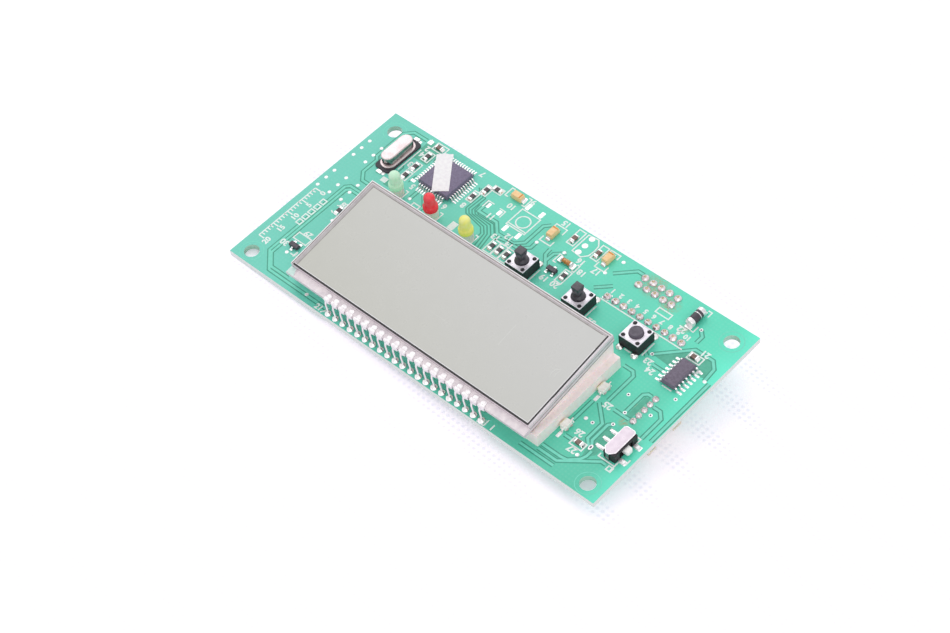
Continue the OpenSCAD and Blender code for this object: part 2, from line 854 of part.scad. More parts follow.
module slide_knob() {
  carriage_x = -slider_w / 2 + slider_sheet + slider_wall + fit_gap;
  carriage_h = slider_h - slider_sheet - 2 * slider_wall - 2 * fit_gap;
  color("#FBF3EE") on_top([slider_x, slider_y]) {
    translate([carriage_x, -carriage_l / 2, slider_wall + fit_gap + lead_t])
      cube([carriage_w, carriage_l, carriage_h - lead_t]);
    translate([0, -knob_w / 2, knob_z - knob_h / 2])
      cube([slider_w / 2 + knob_out, knob_w, knob_h]);
  }
}

module slide_contact() {
  carriage_x = -slider_w / 2 + slider_sheet + slider_wall + fit_gap;
  color("#D9C08A") on_top([slider_x, slider_y])
    translate([carriage_x, -wiper_l / 2, slider_wall + fit_gap])
      cube([wiper_w, wiper_l, lead_t]);
}

// ---------------------------------------------------------------- crystal

module crystal_base() {
  color("#2E2A33") on_top([crystal_x, crystal_y]) linear_extrude(crystal_base_t)
    square([
      crystal_w + 2 * crystal_flange + 2 * crystal_base_margin,
      crystal_l + 2 * crystal_flange + 2 * crystal_base_end
    ], center = true);
}

// The can's outer form: its flange, its wall and its rounded shoulder
module crystal_can() {
  wall_h = crystal_h - crystal_base_t - crystal_flange_t - crystal_round;
  color("#E9DFDC") on_top([crystal_x, crystal_y]) translate([0, 0, crystal_base_t]) {
    linear_extrude(crystal_flange_t)
      stadium(crystal_l + 2 * crystal_flange, crystal_w + 2 * crystal_flange);
    translate([0, 0, crystal_flange_t]) difference() {
      linear_extrude(wall_h) stadium(crystal_l, crystal_w);
      translate([0, 0, -touch]) linear_extrude(wall_h - crystal_wall)
        stadium(crystal_l - 2 * crystal_wall, crystal_w - 2 * crystal_wall);
    }
    translate([0, 0, crystal_flange_t + wall_h]) linear_extrude(crystal_round)
      stadium(crystal_l - crystal_round, crystal_w - crystal_round);
  }
}

module crystal_blank() {
  wall_h = crystal_h - crystal_base_t - crystal_flange_t - crystal_round;
  color("#DCE6EA") on_top([crystal_x, crystal_y])
    translate([0, 0, crystal_base_t + crystal_flange_t])
      block([lead_t, crystal_l - 4 * crystal_wall, wall_h - 3 * crystal_wall]);
}

module crystal_leads() {
  half = crystal_l / 2 + crystal_flange + crystal_base_end;
  color("#F1EFEE") on_top([crystal_x, crystal_y]) for (s = [-1, 1])
    translate([-crystal_lead_w / 2, s > 0 ? half : -half - crystal_lead_w, 0])
      cube([crystal_lead_w, crystal_lead_w, lead_t]);
}

// ---------------------------------------------------------------- chips

module controller_body() {
  color("#6F6678") on_top([mcu_x, mcu_y]) moulded_body(mcu_side, mcu_side, mcu_h);
}

module controller_leads() {
  reach = (mcu_span - mcu_side) / 2;
  height = chip_lift + (mcu_h - chip_lift) / 2;
  color("#E8E6E8") on_top([mcu_x, mcu_y]) for (turn = [0 : 90 : 270], i = [0 : mcu_leads - 1])
    rotate([0, 0, turn]) translate([mcu_side / 2, (i - (mcu_leads - 1) / 2) * mcu_lead_pitch, 0])
      gull_lead(reach, height, mcu_lead_w);
}

module controller_label() {
  color("#FBF8FB") on_top([mcu_x, mcu_y])
    translate([label_shift[0], label_shift[1], mcu_h]) rotate([0, 0, label_turn])
      block([label_l, label_w, label_t]);
}

module small_chip_body() {
  color("#3A363E") on_top([sop_x, sop_y]) difference() {
    moulded_body(sop_l, sop_w, sop_h);
    translate([-sop_w / 4, -sop_l / 2 + dimple_d, sop_h - dimple_depth]) cylinder(h = 1, d = dimple_d);
  }
}

module small_chip_leads() {
  reach = (sop_span - sop_w) / 2;
  height = chip_lift + (sop_h - chip_lift) / 2;
  color("#ECEAEC") on_top([sop_x, sop_y]) for (turn = [0, 180], i = [0 : sop_leads - 1])
    rotate([0, 0, turn]) translate([sop_w / 2, (i - (sop_leads - 1) / 2) * sop_lead_pitch, 0])
      gull_lead(reach, height, sop_lead_w);
}

module transistor_bodies() {
  color("#443E48") for (t = transistors)
    on_top([t[0], t[1]], t[2]) moulded_body(transistor_l, transistor_w, transistor_h);
}

module transistor_leads() {
  height = chip_lift + (transistor_h - chip_lift) / 2;
  color("#ECEAEC") for (t = transistors)
    on_top([t[0], t[1]], t[2]) {
      for (s = [-1, 1])
        translate([transistor_w / 2, s * transistor_l / 3, 0])
          gull_lead(transistor_reach, height, transistor_lead_w);
      rotate([0, 0, 180]) translate([transistor_w / 2, 0, 0])
        gull_lead(transistor_reach, height, transistor_lead_w);
    }
}

// ---------------------------------------------------------------- chip parts

module tantalum_bodies() {
  color("#F5B566") for (c = tantalums)
    on_top([c[0], c[1]], c[2]) translate([0, 0, terminal_t])
      block([tantalum_l - 2 * terminal_t, tantalum_w, tantalum_h - terminal_t]);
}

module tantalum_terminals() {
  color("#E9E4DD") for (c = tantalums)
    on_top([c[0], c[1]], c[2]) for (s = [0, 1])
      mirror([s, 0, 0]) translate([-tantalum_l / 2, -terminal_w / 2, 0]) {
        cube([terminal_t, terminal_w, terminal_h]);
        cube([terminal_h, terminal_w, terminal_t]);
      }
}

module tube_diode_body() {
  color("#3B3740") on_top(tube_at) translate([0, tube_l / 2 - tube_cap_l, tube_d / 2])
    rotate([90, 0, 0]) cylinder(h = tube_l - 2 * tube_cap_l, d = tube_d - 2 * seat_gap);
}

module tube_diode_caps() {
  color("#EFEDEE") on_top(tube_at) for (s = [0, 1])
    mirror([0, s, 0]) translate([0, tube_l / 2, tube_d / 2])
      rotate([90, 0, 0]) cylinder(h = tube_cap_l, d = tube_d);
}

module glass_diode_bead() {
  color("#E58A3C") on_top(bead_at) translate([-bead_l / 2 + bead_cap_l, 0, bead_d / 2])
    rotate([0, 90, 0]) cylinder(h = bead_l - 2 * bead_cap_l, d = bead_d - 2 * fit_gap);
}

module glass_diode_caps() {
  color("#E2DEDF") on_top(bead_at) for (s = [0, 1])
    mirror([s, 0, 0]) translate([-bead_l / 2, 0, bead_d / 2])
      rotate([0, 90, 0]) cylinder(h = bead_cap_l, d = bead_d);
}

// One chip's body between its ends
module chip_core(height) {
  translate([0, 0, seat_gap]) block([chip_l - 2 * chip_end_l, chip_w - 2 * seat_gap, height - 2 * seat_gap]);
}

module chip_caps(height) {
  for (s = [-1, 1])
    translate([s * (chip_l - chip_end_l) / 2, 0, 0]) block([chip_end_l, chip_w, height]);
}

module chip_resistors() {
  color("#5E4A50") for (r = resistors)
    on_top([r[0], r[1]], r[2]) chip_core(resistor_h);
}

module chip_capacitors() {
  color("#9A7A6C") for (c = capacitors)
    on_top([c[0], c[1]], c[2]) chip_core(chip_h);
}

module chip_ends() {
  color("#F1EFEE") {
    for (r = resistors)
      on_top([r[0], r[1]], r[2]) chip_caps(resistor_h);
    for (c = capacitors)
      on_top([c[0], c[1]], c[2]) chip_caps(chip_h);
  }
}

// ---------------------------------------------------------------- connectors on the underside

// A header pin that stands up through the board and hangs below its base
module header_pin() {
  low = header_base_h + header_pin_h;
  translate([0, 0, -low]) block([pin_side, pin_side, low + board_t + pin_up]);
}

module header_base(columns, rows) {
  difference() {
    translate([0, 0, -header_base_h])
      block([columns * pin_pitch, (rows - 1) * pin_pitch + header_base_w, header_base_h]);
    children();
  }
}

module row_header_base() {
  color("#232126") on_underside(row_at)
    header_base(row_pins, 1) at_row_pins() header_pin();
}

module row_header_pins() {
  color("#D8C48A") on_underside(row_at) at_row_pins() header_pin();
}

module pair_header_base() {
  color("#232126") on_underside(pair_at)
    header_base(pair_columns, 2) at_pair_pins() header_pin();
}

module pair_header_pins() {
  color("#D8C48A") on_underside(pair_at) at_pair_pins() header_pin();
}

// A bent pin of the side entry connector: up through the board, and forward into the mouth
module side_pin() {
  axis_z = -side_h / 2;
  forward = side_back + side_d - side_wall;
  translate([0, 0, axis_z - side_pin_side / 2])
    block([side_pin_side, side_pin_side, board_t + pin_up - axis_z + side_pin_side / 2]);
  translate([0, -side_pin_side / 2, axis_z - side_pin_side / 2])
    cube([forward, side_pin_side, side_pin_side]);
}

module side_connector_housing() {
  width = (side_ways - 1) * side_pitch + 2 * side_ear;
  mouth_w = width - 2 * side_wall;
  mouth_d = side_d - side_rear_wall;
  color("#F4EAD9") on_underside([side_x, side_y]) difference() {
    translate([side_back, -width / 2, -side_h]) cube([side_d, width, side_h]);
    translate([side_back + side_rear_wall, -mouth_w / 2, -side_h + side_wall])
      cube([mouth_d + 1, mouth_w, side_h - 2 * side_wall]);
    translate([side_back + side_rear_wall, -width / 2 + side_window_margin, -side_h - 1])
      cube([mouth_d + 1, width - 2 * side_window_margin, side_wall + 2]);
    at_side_pins() side_pin();
  }
}

module side_connector_pins() {
  color("#E3E0DC") on_underside([side_x, side_y]) at_side_pins() side_pin();
}

circuit_board();
display_joints();
header_joints();
button_joints();
underside_joints();
lcd_front_glass();
lcd_rear_glass();
lcd_seal();
lcd_front_polariser();
lcd_rear_polariser();
lcd_contact_pins();
lcd_pin_resin();
light_guide();
guide_reflector();
guide_diffuser();
side_led_bodies();
side_led_windows();
green_lamp();
red_lamp();
yellow_lamp();
lamp_spacers();
lamp_leads();
button_housings();
button_covers();
button_snap_domes();
button_legs();
tall_button_left();
tall_button_right();
low_button();
slide_switch_body();
slide_switch_cover();
slide_switch_leads();
slide_knob();
slide_contact();
crystal_base();
crystal_can();
crystal_blank();
crystal_leads();
controller_body();
controller_leads();
controller_label();
small_chip_body();
small_chip_leads();
transistor_bodies();
transistor_leads();
tantalum_bodies();
tantalum_terminals();
tube_diode_body();
tube_diode_caps();
glass_diode_bead();
glass_diode_caps();
chip_resistors();
chip_capacitors();
chip_ends();
row_header_base();
row_header_pins();
pair_header_base();
pair_header_pins();
side_connector_housing();
side_connector_pins();
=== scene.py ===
"""The bare board of a component tester: a display, lamps, push buttons, a slide switch and their parts.

The part's solids are the frame. Pieces are modelled over them, in the same place, and every surface gets its
finish. Sizes are in millimetres, from the centre of the board and from its top face, unless a comment says
otherwise.
"""
import sys
import logging
import math
import random
from dataclasses import dataclass
from enum import Enum
from typing import Any, Callable, Iterable, Optional, Sequence

import bmesh
import bpy
from mathutils import Matrix, Vector, noise


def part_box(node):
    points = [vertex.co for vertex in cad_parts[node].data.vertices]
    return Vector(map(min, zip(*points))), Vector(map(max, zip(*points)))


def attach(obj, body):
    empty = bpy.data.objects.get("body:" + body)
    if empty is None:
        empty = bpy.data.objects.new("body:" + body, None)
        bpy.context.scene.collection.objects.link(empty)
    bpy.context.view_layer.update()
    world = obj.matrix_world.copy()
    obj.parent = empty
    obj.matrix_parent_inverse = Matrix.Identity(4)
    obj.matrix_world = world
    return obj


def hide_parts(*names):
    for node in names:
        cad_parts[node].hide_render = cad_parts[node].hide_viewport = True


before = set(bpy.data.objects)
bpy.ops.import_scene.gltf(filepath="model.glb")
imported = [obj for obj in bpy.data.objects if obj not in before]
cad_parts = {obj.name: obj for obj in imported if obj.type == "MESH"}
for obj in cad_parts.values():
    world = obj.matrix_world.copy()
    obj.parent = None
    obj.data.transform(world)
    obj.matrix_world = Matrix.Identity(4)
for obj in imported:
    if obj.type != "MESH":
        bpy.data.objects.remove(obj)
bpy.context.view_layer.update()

log = logging.getLogger("component_tester")

Pair = tuple[float, float]
Triple = tuple[float, float, float]
Tree = bpy.types.NodeTree
Socket = bpy.types.NodeSocket

MM = 0.001
# Points closer than about a thousandth of a millimetre are one
MERGE = 0.001 * MM
# Faces that meet at less than this angle, in degrees, are shaded as one
SMOOTH = 40.0
# A wave texture has one band in this many of its own units
WAVE = 0.314
# The board's centre is this far from the centre of its four mounting holes, which is the origin
BOARD_SHIFT = 0.8
BOARD_T = 1.6
# The display leans back about the near edge of the light guide, and its contact edge overhangs that by 2 mm
DISPLAY_TILT = math.radians(8.4)
DISPLAY_AT = (-1.0, -26.2 - 2.0 * math.cos(DISPLAY_TILT), 3.85 - 2.0 * math.sin(DISPLAY_TILT))
BUTTONS_X = (1.9, 20.1, 38.15)
BUTTONS_Y = 11.05
LAMPS_X = (-39.9, -27.8, -15.7)
LAMPS_Y = 9.9
CONTROLLER_AT = (-32.9, 20.6)
CONTROLLER_PITCH = 0.8
SMALL_CHIP_AT = (52.2, 9.5)
SMALL_CHIP_PITCH = 1.27
SWITCH_AT = (54.95, -14.7)
TABS_APART = 5.2
MOUNT_HOLES = [(x, y) for x in (-55.5, 55.5) for y in (25.0, -26.6)]
# The display's contacts, the headers and the lamps' leads stand on this, and the side connector on 2 mm
PITCH = 2.54
SIDE_PITCH = 2.0
CONTACTS_Y = -28.9
ROW_AT = (35.1, 17.3)
PAIR_AT = (32.25, 26.0)
SIDE_AT = (52.35, -3.1)


def evenly(middle: float, pitch: float, count: int) -> list[float]:
    """Gives evenly spaced places along a line, from its middle."""
    return [middle + pitch * (i - (count - 1) / 2) for i in range(count)]


CONTACTS_X = evenly(-0.4, PITCH, 21)


class Element(Enum):
    """What is selected while a mesh is shaped."""

    POINT = "VERT"
    EDGE = "EDGE"
    FACE = "FACE"


# ---------------------------------------------------------------- finishes


def linear(shade: str) -> tuple[float, float, float, float]:
    """Turns an sRGB hex colour into the linear values that a shader takes.

    Args:
        shade: The colour as "#rrggbb".

    Returns:
        Red, green, blue and an alpha of 1.
    """
    parts = [int(shade[i : i + 2], 16) / 255 for i in (1, 3, 5)]
    red, green, blue = [p / 12.92 if p <= 0.04045 else ((p + 0.055) / 1.055) ** 2.4 for p in parts]
    return red, green, blue, 1.0


# For a node that mixes colours, and for one that multiplies
RGBA = {"data_type": "RGBA"}
TIMES = {"operation": "MULTIPLY"}


def add(tree: Tree, kind: str, inputs: dict[Any, Any], output: Any = 0, **settings: Any) -> Optional[Socket]:
    """Adds a node with its settings and its links.

    Args:
        tree: The material's or the world's node tree.
        kind: The node's type, less its first word.
        inputs: Each socket's name or number, with its value, its hex colour or the output that feeds it.
        output: The name or number of the output that is wanted.
        settings: The node's own settings.

    Returns:
        That output, or nothing where the node ends the tree.
    """
    made = tree.nodes.new("ShaderNode" + kind)
    for key, value in settings.items():
        setattr(made, key, value)
    for key, value in inputs.items():
        if isinstance(value, Socket):
            tree.links.new(value, made.inputs[key])
        else:
            made.inputs[key].default_value = linear(value) if isinstance(value, str) else value
    return made.outputs[output] if made.outputs else None


@dataclass(frozen=True)
class Finish:
    """A surface: what it is made of, and how its colour, gloss and relief vary. Lengths are in mm."""

    name: str
    slot: str
    colour: str
    fleck: str
    grain: float = 0.8
    roughness: float = 0.45
    spread: float = 0.12
    pores: float = 0.25
    depth: float = 0.01
    metallic: float = 0.0
    ior: float = 1.5
    transmission: float = 0.0
    subsurface: float = 0.0
    coat: float = 0.0

    def material(self) -> bpy.types.Material:
        """Makes the material once, and gives the same one from then on.

        Returns:
            The material.
        """
        known = bpy.data.materials.get(self.name)
        if known:
            return known
        made = bpy.data.materials.new(self.name)
        made.use_nodes = True
        tree = made.node_tree
        tree.nodes.clear()
        place = add(tree, "TexCoord", {}, "Object")
        clouds = {"Vector": place, "Scale": 1 / (self.grain * MM), "Detail": 3.0, "Roughness": 0.55}
        cloud = add(tree, "TexNoise", clouds, "Fac")
        smooth, rough = max(self.roughness - self.spread, 0.02), min(self.roughness + self.spread, 1.0)
        settings = {
            "Base Color": self.tint(tree, place, cloud),
            "Roughness": add(tree, "MapRange", {0: cloud, 1: 0.3, 2: 0.7, 3: smooth, 4: rough}),
            "Metallic": self.metallic,
            "IOR": self.ior,
            "Transmission Weight": self.transmission,
            "Subsurface Weight": self.subsurface,
            "Subsurface Scale": 0.5 * MM,
            "Coat Weight": self.coat,
            "Coat Roughness": 0.1,
            "Normal": self.relief(tree, place),
        }
        add(tree, "OutputMaterial", {"Surface": add(tree, "BsdfPrincipled", settings)})
        return made

    def tint(self, tree: Tree, place: Socket, cloud: Socket) -> Socket:
        """Gives the colour: the finish's own, clouded with its fleck."""
        factor = add(tree, "MapRange", {0: cloud, 1: 0.35, 2: 0.65})
        return add(tree, "Mix", {0: factor, 6: self.colour, 7: self.fleck}, 2, **RGBA)

    def relief(self, tree: Tree, place: Socket) -> Socket:
        """Gives the bumped normal of the finish's pores."""
        pores = add(tree, "TexNoise", {"Vector": place, "Scale": 1 / (self.pores * MM), "Detail": 2.0}, "Fac")
        return add(tree, "Bump", {"Height": pores, "Distance": self.depth * MM, "Strength": 1.0})


@dataclass(frozen=True)
class SolderMask(Finish):
    """Screened green lacquer over copper and glass cloth.

    Its green drifts from end to end, with painted light at the right end and painted shade towards the near
    right corner. It shows the cloth's weave faintly, and the sawn edges show the pale laminate.
    """

    other_end: str = "#5AE6C4"
    # Painted shade, deepest towards the near right corner
    shade: str = "#50C4A6"
    # The painted light at the board's right end
    bright_tip: str = "#6CFFE0"
    flux: str = "#B39B72"
    laminate: str = "#E8F0EA"
    laminate_ply: str = "#CEDBD3"
    # Painted shade on the walls of the holes, green as the light through the laminate
    hole_wall: str = "#B2DCC8"
    # Painted light: the board's right end, between these distances from the middle, grows brighter still
    tip: Pair = (54.0, 63.0)
    # The cloth's threads are 0.5 mm apart; drawn at twice that, so that the weave shows
    weave: float = 1.0
    # The plies of the laminate, as its sawn edge shows them
    ply: float = 0.4
    # Brown flux round the double header and beside the side connector's joints: x, y and reach
    stains: tuple[Triple, ...] = (
        (30.5, 27.0, 4.5), (37.2, 24.6, 3.2), (50.6, -3.0, 2.0), (50.8, -8.6, 1.6), (44.4, 21.2, 1.6),
    )

    def tint(self, tree: Tree, place: Socket, cloud: Socket) -> Socket:
        """Gives the lacquer's colour on the faces and the laminate's on the edges.

        Args:
            tree: The node tree.
            place: The place on the piece.
            cloud: The finish's noise.

        Returns:
            The colour.
        """
        lacquer = self.fluxed(tree, place, cloud, self.woven(tree, place, self.lacquer(tree, place)))
        facing = add(tree, "SeparateXYZ", {0: add(tree, "NewGeometry", {}, "Normal")}, "Z")
        facing = add(tree, "Math", {0: facing}, operation="ABSOLUTE")
        flat = add(tree, "Math", {0: facing, 1: 0.5}, operation="GREATER_THAN")
        return add(tree, "Mix", {0: flat, 6: self.edge(tree, place), 7: lacquer}, 2, **RGBA)

    def lacquer(self, tree: Tree, place: Socket) -> Socket:
        """Gives the green, which drifts from end to end, darkens towards the near right corner as painted
        shade, brightens at the right end as painted light, and has broad clouds.

        Args:
            tree: The node tree.
            place: The place on the piece.

        Returns:
            The colour.
        """
        x, y = (add(tree, "SeparateXYZ", {0: place}, axis) for axis in "XY")
        across = add(tree, "Math", {0: x, 1: 0.5}, **TIMES)
        across = add(tree, "Math", {0: across, 1: y}, operation="SUBTRACT")
        broad = add(tree, "TexNoise", {"Vector": place, "Scale": 1 / (14 * MM), "Detail": 2.0}, "Fac")
        broad = add(tree, "MapRange", {0: broad, 1: 0.4, 2: 0.7})
        green = self.colour
        # The drift from end to end, painted shade towards the near right corner, painted light at the right
        # end, and broad clouds
        for factor, other in (
            (add(tree, "MapRange", {0: x, 1: -60 * MM, 2: 60 * MM}), self.other_end),
            (add(tree, "MapRange", {0: across, 1: 8 * MM, 2: 62 * MM}), self.shade),
            (add(tree, "MapRange", {0: x, 1: self.tip[0] * MM, 2: self.tip[1] * MM}), self.bright_tip),
            (add(tree, "Math", {0: broad, 1: 0.35}, **TIMES), self.fleck),
        ):
            green = add(tree, "Mix", {0: factor, 6: green, 7: other}, 2, **RGBA)
        return green

    def woven(self, tree: Tree, place: Socket, lacquer: Socket) -> Socket:
        """Adds the faint weave of the cloth.

        Args:
            tree: The node tree.
            place: The place on the piece.
            lacquer: The colour so far.

        Returns:
            The colour.
        """
        settings = {"Vector": place, "Scale": WAVE / (self.weave * MM), "Distortion": 1.5}
        warp, weft = (add(tree, "TexWave", settings, "Fac", bands_direction=way) for way in "XY")
        threads = add(tree, "Math", {0: warp, 1: weft}, **TIMES)
        threads = add(tree, "Math", {0: threads, 1: 0.03}, **TIMES)
        return add(tree, "Mix", {0: threads, 6: lacquer, 7: "#FFFFFF"}, 2, **RGBA)

    def fluxed(self, tree: Tree, place: Socket, cloud: Socket, lacquer: Socket) -> Socket:
        """Adds the stains of flux, each densest at its middle and broken up by the clouds.

        Args:
            tree: The node tree.
            place: The place on the piece.
            cloud: The finish's noise.
            lacquer: The colour so far.

        Returns:
            The colour.
        """
        for x, y, reach in self.stains:
            middle = (x * MM, (y + BOARD_SHIFT) * MM, BOARD_T * MM)
            away = add(tree, "VectorMath", {0: place, 1: middle}, "Value", operation="DISTANCE")
            away = add(tree, "MapRange", {0: away, 1: 0.3 * reach * MM, 2: reach * MM})
            stain = add(tree, "Math", {0: 1.0, 1: away}, operation="SUBTRACT")
            for share in (add(tree, "MapRange", {0: cloud, 1: 0.35, 2: 0.6}), 0.75):
                stain = add(tree, "Math", {0: stain, 1: share}, **TIMES)
            lacquer = add(tree, "Mix", {0: stain, 6: lacquer, 7: self.flux}, 2, **RGBA)
        return lacquer

    def edge(self, tree: Tree, place: Socket) -> Socket:
        """Gives the laminate's plies on the outer edges, and inside the holes a darker, greener wall: painted
        shade, tinted as the light that the laminate lets through.

        Args:
            tree: The node tree.
            place: The place on the piece.

        Returns:
            The colour.
        """
        settings = {"Vector": place, "Scale": WAVE / (self.ply * MM), "Distortion": 2.0}
        plies = add(tree, "TexWave", settings, "Fac", bands_direction="Z")
        plies = add(tree, "Math", {0: plies, 1: 0.5}, **TIMES)
        edge = add(tree, "Mix", {0: plies, 6: self.laminate, 7: self.laminate_ply}, 2, **RGBA)
        # A wall that stands further in than the rim is a hole's
        within = []
        for axis, side in (("X", 60.0), ("Y", 29.0)):
            out = add(tree, "SeparateXYZ", {0: place}, axis)
            out = add(tree, "Math", {0: out}, operation="ABSOLUTE")
            within.append(add(tree, "MapRange", {0: out, 1: (side - 0.6) * MM, 2: (side - 1.0) * MM}))
        inside = add(tree, "Math", {0: within[0], 1: within[1]}, **TIMES)
        # Inside the holes, the painted shade
        return add(tree, "Mix", {0: inside, 6: edge, 7: self.hole_wall}, 2, **RGBA)


@dataclass(frozen=True)
class Polariser(Finish):
    """Stretched plastic film bonded to the display glass, with hair-fine scratches.

    It is plain grey with no segment lit, and a little warmer at one corner.
    """

    scratch: str = "#E6E6E3"
    # The hairs run this way, in degrees, and are long and thin: so many to the metre along and across them
    lay: float = 62.0
    hairs: Triple = (40.0, 2600.0, 1.0)

    def tint(self, tree: Tree, place: Socket, cloud: Socket) -> Socket:
        """Gives the film's grey, its slow drift across the glass and its scratches.

        Args:
            tree: The node tree.
            place: The place on the piece.
            cloud: The finish's noise; not used here.

        Returns:
            The colour.
        """
        x, y = (add(tree, "SeparateXYZ", {0: place}, axis) for axis in "XY")
        drift = add(tree, "Math", {0: x, 1: 0.4}, **TIMES)
        drift = add(tree, "Math", {0: drift, 1: y}, operation="ADD")
        drift = add(tree, "MapRange", {0: drift, 1: -42 * MM, 2: 8 * MM})
        film = add(tree, "Mix", {0: drift, 6: self.fleck, 7: self.colour}, 2, **RGBA)
        turn = {"Vector": place, "Rotation": (0.0, 0.0, math.radians(self.lay)), "Scale": self.hairs}
        hair = {"Vector": add(tree, "Mapping", turn), "Scale": 1.0, "Detail": 1.0}
        hair = add(tree, "MapRange", {0: add(tree, "TexNoise", hair, "Fac"), 1: 0.74, 2: 0.78})
        hair = add(tree, "Math", {0: hair, 1: 0.22}, **TIMES)
        return add(tree, "Mix", {0: hair, 6: film, 7: self.scratch}, 2, **RGBA)


@dataclass(frozen=True)
class LightGuide(Finish):
    """Acrylic printed white, with rows of fine dots that spread the light."""

    # The dots stand 1.3 mm apart along the guide
    dots: float = 1.3
    dot: str = "#E6D6D4"

    def tint(self, tree: Tree, place: Socket, cloud: Socket) -> Socket:
        """Gives the milky colour with its faint rows of dots.

        Args:
            tree: The node tree.
            place: The place on the piece.
            cloud: The finish's noise.

        Returns:
            The colour.
        """
        settings = {"Vector": place, "Scale": 1 / (self.dots * MM), "Randomness": 0.15}
        speck = add(tree, "MapRange", {0: add(tree, "TexVoronoi", settings, "Distance"), 1: 0.3, 2: 0.15})
        for share in (add(tree, "MapRange", {0: cloud, 1: 0.4, 2: 0.55}), 0.3):
            speck = add(tree, "Math", {0: speck, 1: share}, **TIMES)
        base = super().tint(tree, place, cloud)
        return add(tree, "Mix", {0: speck, 6: base, 7: self.dot}, 2, **RGBA)


@dataclass(frozen=True)
class Lamp(Finish):
    """Coloured epoxy cast round a lamp's leads: clear enough to glow at its rim, with a paler heart."""

    heart: str = "#FFFFFF"
    # The colour shifts to the fleck colour between these heights above the board's underside
    deepens: Pair = (7.2, 4.0)

    def tint(self, tree: Tree, place: Socket, cloud: Socket) -> Socket:
        """Gives the epoxy's colour, which shifts to its fleck colour towards the foot.

        Args:
            tree: The node tree.
            place: The place on the piece.
            cloud: The finish's noise.

        Returns:
            The colour.
        """
        pale = add(tree, "MapRange", {0: cloud, 1: 0.2, 2: 0.8})
        heart = add(tree, "Mix", {0: pale, 6: self.colour, 7: self.heart}, 2, **RGBA)
        high, low = (height * MM for height in self.deepens)
        deep = add(tree, "MapRange", {0: add(tree, "SeparateXYZ", {0: place}, "Z"), 1: high, 2: low})
        return add(tree, "Mix", {0: deep, 6: heart, 7: self.fleck}, 2, **RGBA)


MASK = SolderMask(
    "solder mask lacquer with painted light and shade", "fr4_board", "#6FD4C1", "#66CDB6", grain=0.5, roughness=0.42, spread=0.06,
    pores=0.9,
)
# The same lacquer where the copper under it is etched away, so it looks darker
GAP = Finish(
    "solder mask over laminate", "fr4_board", "#3FA189", "#3A9A82", grain=1.5, spread=0.05, depth=0.005
)
ZONE = Finish(
    "solder mask over a bare field", "fr4_board", "#53B89D", "#4BAE92", grain=1.5, spread=0.05, depth=0.005
)
# The lacquer over a track stands a little proud and catches the light
TRACK = Finish(
    "solder mask over track", "fr4_board", "#76DFC8", "#6FD9C0", grain=1.5, roughness=0.36, spread=0.05,
    depth=0.005,
)
# Screen-printed epoxy ink: matt, with slightly ragged cover
INK = Finish(
    "white screened ink", "fr4_board", "#FBFFFD", "#E4F6F0", grain=0.3, roughness=0.7, pores=0.2, depth=0.015
)
# Copper pads levelled with tin: bright and wavy
# Also the painted highlight along the switch shell's top edge
TIN_AND_EDGE_HIGHLIGHT = Finish(
    "tinned copper pad and painted edge highlight", "solder", "#FBFAFB", "#EDE9EC", grain=0.7, roughness=0.36, metallic=0.55, pores=0.5,
    depth=0.03,
)
# Solder that froze in a fillet: bright, with a soft frosted grain
SOLDER = Finish(
    "solder", "solder", "#FBF8FA", "#E2DADE", grain=0.9, roughness=0.3, metallic=0.7, pores=0.45, depth=0.05
)
DULL_SOLDER = Finish(
    "fluxed solder", "solder", "#F6EFF1", "#CBBBC0", grain=0.7, roughness=0.2, spread=0.08, metallic=0.8,
    pores=0.5, depth=0.06,
)
GLASS = Finish(
    "display glass", "display_glass", "#E2D9DE", "#D4CAD0", grain=2.5, roughness=0.22, spread=0.06,
    depth=0.003, ior=1.52,
)
FILM = Polariser(
    "polariser film", "polariser_film", "#CDCDCB", "#C4C4BC", grain=3.0, roughness=0.3, spread=0.04,
    pores=0.4, depth=0.004,
)
BACK_FILM = Finish(
    "rear polariser film", "polariser_film", "#BDBDB8", "#B3B2AE", grain=4.0, roughness=0.5, depth=0.004
)
SEAL = Finish("epoxy seal of the display", "display_seal", "#9A929C", "#857D88", grain=1.2, roughness=0.5)
# The seal and the film's cut edge, seen through the glass as a grey band with a dark inner line
SEAL_BAND = Finish(
    "seal seen through the glass", "display_seal", "#B9B4B6", "#ACA6A9", grain=1.4, roughness=0.3, depth=0.004
)
SEAL_LINE = Finish(
    "inner edge of the seal", "display_seal", "#7E7873", "#A09B96", grain=2.0, roughness=0.35, depth=0.004
)
SCRATCH = Finish(
    "scratch in the film", "polariser_film", "#DADBD8", "#D2D3CF", grain=1.0, roughness=0.3, depth=0.002
)
# Painted highlight along the rims of the film and the glass
RIM_HIGHLIGHT = Finish(
    "painted highlight on the rims of the film and glass", "display_glass", "#FAF8FB", "#EDEAF0", grain=1.5, roughness=0.3, depth=0.003
)
# The film's dark cut edge, drawn black, with the shade beside it on the near and right sides painted in
FILM_EDGE_SHADE = Finish(
    "black cut edge of the film with painted shade", "display_seal", "#0D0C0F", "#1E1B1C", grain=3.0, roughness=0.4
)
PIN = Finish(
    "tinned lead", "tinned_pin", "#F6F3F5", "#DDD7DB", roughness=0.3, metallic=0.7, pores=0.4, depth=0.02
)
# The contact clips are dipped in solder: white and frosted, with soft edges
CLIP = Finish(
    "solder-dipped contact clip", "tinned_pin", "#FFFDFE", "#EFE8EC", grain=0.9, roughness=0.42,
    metallic=0.35, pores=0.5, depth=0.03,
)
RESIN = Finish(
    "milky resin bead", "pin_resin", "#F3E9EC", "#E2D8DE", grain=1.6, roughness=0.3, pores=0.8, depth=0.05,
    coat=0.2,
)
# Where no resin reached it, the rear glass shows the board through it
BARE_GLASS = Finish(
    "bare corner of the glass", "display_glass", "#BFE0D8", "#CFEAE4", roughness=0.1, depth=0.003, coat=0.4
)
